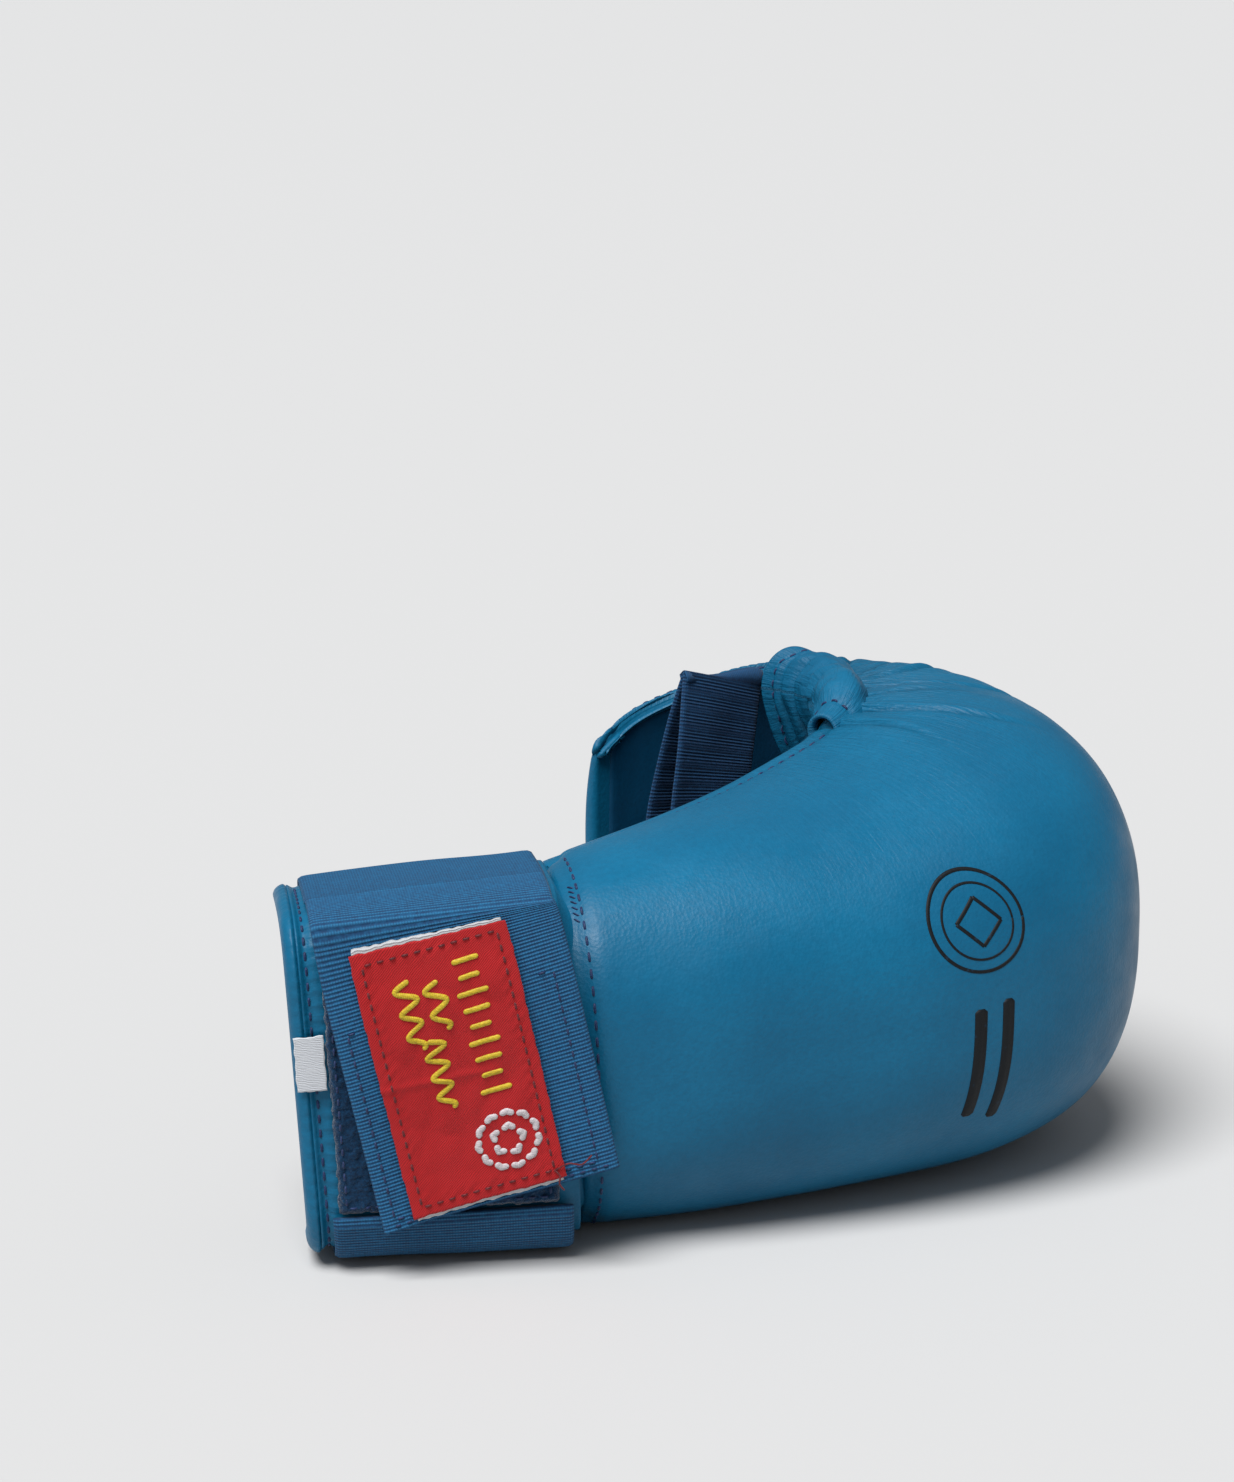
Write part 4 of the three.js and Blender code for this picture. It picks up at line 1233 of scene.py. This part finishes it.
def face_patch(name, box, front, back, mats, to, pitch, rough, grain, shape=None, fray=0.0):
    """A flat piece on the back of the wrist between two depths, its front rounded at the border."""
    x0, x1, z0, z1 = box
    nx, nz = int((x1 - x0) / pitch) + 2, int((z1 - z0) / pitch) + 2
    X, Z = np.meshgrid(np.linspace(x0, x1, nx), np.linspace(z1, z0, nz), indexing="xy")
    thick = back - front
    share = np.clip(to_border(X, Z, *box) / (thick * 0.8 + 0.2), 0, 1)
    soft_edge = np.sqrt(np.clip(1 - (1 - share) ** 2, 0, 1))
    y = back - 0.15 - (thick - 0.15) * (0.35 + 0.65 * soft_edge)
    bumps = waves(71, *grain)(X, Z) + 0.7 * waves(72, grain[0] * 0.5, grain[1] * 0.5)(X, Z)
    y = y + rough * bumps * soft_edge
    drift = 0 if shape is None else shape(X, Z)
    frayed_x = X + fray * waves(74, 1.5, 4)(X, Z) * (1 - soft_edge)
    frayed_z = Z + fray * waves(75, 1.5, 4)(X, Z) * (1 - soft_edge)
    top = to(np.stack([-frayed_x, y + drift, frayed_z], -1))
    low = to(np.stack([-frayed_x, np.full_like(y, back) + drift, frayed_z], -1))
    return slab(name, top, low, mats, np.stack([X / 1000, Z / 1000], -1))


def flap_drift(X, Z):
    """How far the flap's face moves at a place, so that what is sewn on it follows."""
    return flap_wave(CUFF_MIDDLE + TIP_START - Z, -(STRAP_MIDDLE + X))


M = CUFF_MIDDLE
pile_box = (6.5, 55.8, M - 29, M + 27)
loop_pile = face_patch(
    "loop_pile", pile_box, CUFF_BACK - 1.9, CUFF_BACK - 0.3, [PILE], settle, 0.7, 0.22, (1.6, 4), fray=0.25,
)
dress(loop_pile, "cuff", "loop_pad")
hook_box = (8, 51.5, M - 28, M + 20)
hooks = face_patch(
    "hook_strip", hook_box, CUFF_BACK - 3.6, CUFF_BACK - 2.2, [HOOKS], hang, 0.8, 0.16, (1.5, 3),
    shape=lambda X, Z: flap_drift(X, Z) * 0.6,
)
dress(hooks, "strap_tip", "hook_pad")

# ---------------------------------------------------------------- label

LABEL = (15.5, 50.3, M - 27.0, M + 38.2)
LABEL_BACK = CUFF_BACK - 6.0
label_low, label_high = np.array(LABEL[::2]), np.array(LABEL[1::2])


def label_drift(X, Z):
    """The flap's own shape, and the label's slight puckering along its seams and folds across its middle."""
    border = to_border(X, Z, *LABEL)
    pucker = 0.13 * np.sin(2 * math.pi * (X + Z) / 3.1) * bell(border - 2.6, 1.6)
    pull = 0.26 * waves(81, 12, 30)(X * 1.2, Z * 0.8) + 0.12 * waves(82, 5, 10)(X + 0.4 * Z, Z * 0.4)
    crease_fold = -0.3 * bell(Z - (M + 4) - 0.12 * (X - 33), 0.9) * smooth((X - 20) / 10)
    return flap_drift(X, Z) - np.abs(pucker + pull * smooth(border / 5)) + crease_fold - 0.05


EDGE = 0.9  # how far the white backing is narrower than the red cloth, and longer
backing = (LABEL[0] + EDGE, LABEL[1] - EDGE, LABEL[2] - EDGE, LABEL[3] + EDGE)
for name, box, front, back, mats, slot, node, fray in (
    ("label_white_edge", backing, 0.0, 0.55, [WHITE], "white_fabric", "label_backing", 0.16),
    ("label_cloth", LABEL, 0.62, 1.1, [RED], "red_fabric", "strap_label", 0.1),
):
    sheet = face_patch(
        name, box, LABEL_BACK - front, LABEL_BACK - back, mats, hang, 0.5, 0.03, (2, 5), label_drift, fray,
    )
    dress(sheet, node=node)
    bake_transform(sheet)


def on_face(depth, x, z, to=hang):
    """Points at a depth over the back of the wrist; x is the distance from the crease."""
    return to(np.stack([-np.asarray(x), np.broadcast_to(depth, np.shape(x)), np.asarray(z)], -1))


def on_label(x, z, height=0.0):
    return on_face(LABEL_BACK - 1.1 - height + label_drift(x, z), x, z)


label_out = unit(on_face(CUFF_BACK - 10, -STRAP_MIDDLE, M) - on_face(CUFF_BACK, -STRAP_MIDDLE, M))


def embroidery(name, paths, width, mats, node, height=0.34, pitch=0.42):
    """Satin stitches laid side by side along paths: a fine cross-ribbed ridge."""
    bodies = []
    for path in paths:
        path = even(np.array(path, float), 0.12)
        s = arc(path)
        along = unit(np.gradient(path, axis=0))
        ends = np.clip(np.minimum(s, s[-1] - s) / (width * 0.5), 0, 1)
        ends = np.sqrt(np.clip(1 - (1 - ends) ** 2, 0.08, 1))
        rib = 0.5 + 0.5 * np.sin(2 * math.pi * s / pitch)
        half = width / 2 * ends * (0.93 + 0.09 * rib)
        t = np.linspace(-1, 1, 7)
        x = path[:, :1] - along[:, 1:] * half[:, None] * t
        z = path[:, 1:] + along[:, :1] * half[:, None] * t
        rise = 0.05 + (height + 0.07 * rib[:, None]) * np.sqrt(np.clip(1 - t**2, 0.02, 1))[None, :]
        rise = rise * (0.4 + 0.6 * ends[:, None])
        bodies.append(np.concatenate([on_label(x, z, rise), on_label(x, z, -0.15)[:, ::-1]], 1))
    dress(strips(name, bodies, mats), "strap_tip", node)


# Plain ornament: upright waves beside a column of bars, and a wreath of short leaves round an open disc
lx, lz = label_low
strokes = []
for x, z0, z1, bends in ((24.6, 40.0, 57.0, 3.0), (21.4, 24.0, 41.5, 3.5), (18.4, 43.0, 55.0, 2.0)):
    t = np.linspace(0, 1, 80)
    sway = (2.3 - 0.8 * t) * np.sin(2 * math.pi * bends * t + x)
    strokes.append(np.stack([lx + x + sway, lz + lerp(z1, z0, t)], -1))
for k in range(9):
    reach = (3.5, 2.4, 3.0)[k % 3]
    bar = np.linspace(lx + 10.6 - reach, lx + 10.6 + reach, 20)
    strokes.append(np.stack([bar, np.full(20, lz + 25.2 + 4.1 * k)], -1))
embroidery("label_strokes", strokes, 1.3, [YELLOW], "label_motif")

leaves = []
disc = np.array([lx + 10.6, lz + 12.6])
for count, first, leaf in (
    (11, 0, ((6.3, -1.5), (6.9, 0), (6.1, 1.6))),
    (5, 0.4, ((2.4, -1.3), (3.6, 0), (2.6, 1.5))),
):
    for k in range(count):
        t = 2 * math.pi * (k + first) / count
        a, b = np.array([math.cos(t), math.sin(t)]), np.array([-math.sin(t), math.cos(t)])
        leaves.append([disc + a * r + b * w for r, w in leaf])
embroidery("label_disc", leaves, 1.5, [WHITE_THREAD], "label_emblem")


def flap_thread(name, corners, mats, surface, body="strap_tip", **values):
    """Stitches along straight runs between corners (distance from the crease, height)."""
    for k, path in enumerate(runs(corners, 40)):
        thread_piece(f"{name}_{k + 1}", surface(path[:, 0], path[:, 1]), label_out, body, mats, **values)


def box_corners(x0, x1, z0, z1):
    return [(x0, z1), (x0, z0), (x1, z0), (x1, z1)]


(x0, z0), (x1, z1) = label_low, label_high
inset = 2.4
seam = box_corners(x0 + inset, x1 - inset, z0 + inset, z1 - inset)
flap_thread(
    "label_stitches", seam + seam[:1], [RED_THREAD], lambda x, z: on_label(x, z, 0.02),
    pitch=2.7, length=1.9, radius=0.27,
)


def on_flap(x, z):
    return on_face(CUFF_BACK - 5.72 + flap_drift(x, z), x, z)


top, low = M + 21.5, TIP_END + M + 3.0
box_seam = [(x0 - 2.2, top), *box_corners(8.2, 54.3, low, top), (x1 + 2.2, top)]
flap_thread("strap_box_stitches", box_seam, [NAVY_THREAD], on_flap, pitch=2.7, length=1.9, radius=0.25)
hem_seam = [(5.4, TIP_END + M + 1.4), (55.2, TIP_END + M + 1.4)]
flap_thread("strap_edge_stitches", hem_seam, [NAVY_THREAD], on_flap, pitch=2.6, length=1.6, radius=0.22)

# Two loose ends of thread at the label's lower corner: places from the corner, and heights above the label
for name, places in (
    ("label_loose_thread_short", ((2.5, 2.4, 0.1), (1.6, 0.9, 0.9), (2.1, -0.8, 1.5), (1.4, -2.6, 1.2))),
    ("label_loose_thread_long", ((2.4, 2.2, 0.1), (-0.8, 3.2, 0.9), (-3.6, 2.2, 1.0), (-6.2, 3.6, 0.7))),
):
    path = spline(np.array(places) + (x0, z0, 0))(np.linspace(0, 1, 30))
    line = on_label(path[:, 0], path[:, 1], path[:, 2])
    along = unit(np.gradient(line, axis=0))
    side = unit(np.cross(along, label_out))
    turn = (2 * math.pi * np.arange(6) / 6)[None, :, None]
    up = np.cross(side, along)
    ring = line[:, None, :] + 0.2 * (side[:, None, :] * np.cos(turn) + up[:, None, :] * np.sin(turn))
    dress(loft(name, ring, None, [RED_THREAD]), "strap_tip")

# Size tag, left blank
tag_box = (56.3, 62.9, M + 2, M + 15.5)
tag = face_patch(
    "size_tag_cloth", tag_box, CUFF_BACK - 0.8, CUFF_BACK - 1.4, [SATIN], settle, 0.4, 0.03, (2, 4), fray=0.12,
)
dress(tag, "size_tag", "size_tag")


# Seam round the loop pad, seen past the flap's far edge
def on_loop(x, z):
    return on_face(CUFF_BACK - 2.0, x, z, settle)


flap_thread(
    "loop_pile_stitches", box_corners(8.5, 54.2, M - 27.4, M + 25.4), [NAVY_THREAD], on_loop, "cuff",
    pitch=2.8, length=2.0, radius=0.26,
)

# ---------------------------------------------------------------- floor, light, camera


def in_scene(name, data):
    obj = bpy.data.objects.new(name, data)
    bpy.context.scene.collection.objects.link(obj)
    return obj


def look_at(obj, place, target):
    obj.location = place
    obj.rotation_euler = (Vector(target) - Vector(place)).to_track_quat("-Z", "Y").to_euler()


floor_mesh = bpy.data.meshes.new("floor")
floor_mesh.from_pydata([(-30, -30, 0), (30, -30, 0), (30, 30, 0), (-30, 30, 0)], [], [(0, 1, 2, 3)])
floor = in_scene("floor", floor_mesh)
floor.location.z = -0.0006
floor_mesh.materials.append(Shader("floor_paper", (0.5, 0.5, 0.5), 0.9, Specular_IOR_Level=0.1).mat)

world = bpy.data.worlds.new("studio")
bpy.context.scene.world = world
world.use_nodes = True
sky = world.node_tree.nodes["Background"].inputs
sky["Color"].default_value = (0.93, 0.96, 1.0, 1)
sky["Strength"].default_value = 0.24

for name, energy, place, angle in (
    ("key", 4.75, (-0.75, -0.45, 1.75), 34),
    ("fill", 0.2, (-1.4, -1.6, 0.8), 60),
):
    light = bpy.data.lights.new(name, "SUN")
    light.energy = energy
    light.angle = math.radians(angle)
    look_at(in_scene(name, light), place, (0, 0, 0.05))

camera_data = bpy.data.cameras.new("camera")
camera_data.sensor_fit = "HORIZONTAL"
camera_data.sensor_width = 36
camera_data.lens = 108.2
camera_data.clip_end = 100
camera = in_scene("camera", camera_data)
CAMERA_TURN, CAMERA_DIP = math.radians(30), math.radians(13)
CAMERA_PLACE = Vector((-0.44335, -0.7392, 0.3033))
ahead = Vector((math.sin(CAMERA_TURN), math.cos(CAMERA_TURN), 0)) * math.cos(CAMERA_DIP)
ahead.z = -math.sin(CAMERA_DIP)
look_at(camera, CAMERA_PLACE, CAMERA_PLACE + ahead)
bpy.context.scene.camera = camera
bpy.context.scene.view_settings.view_transform = "Standard"
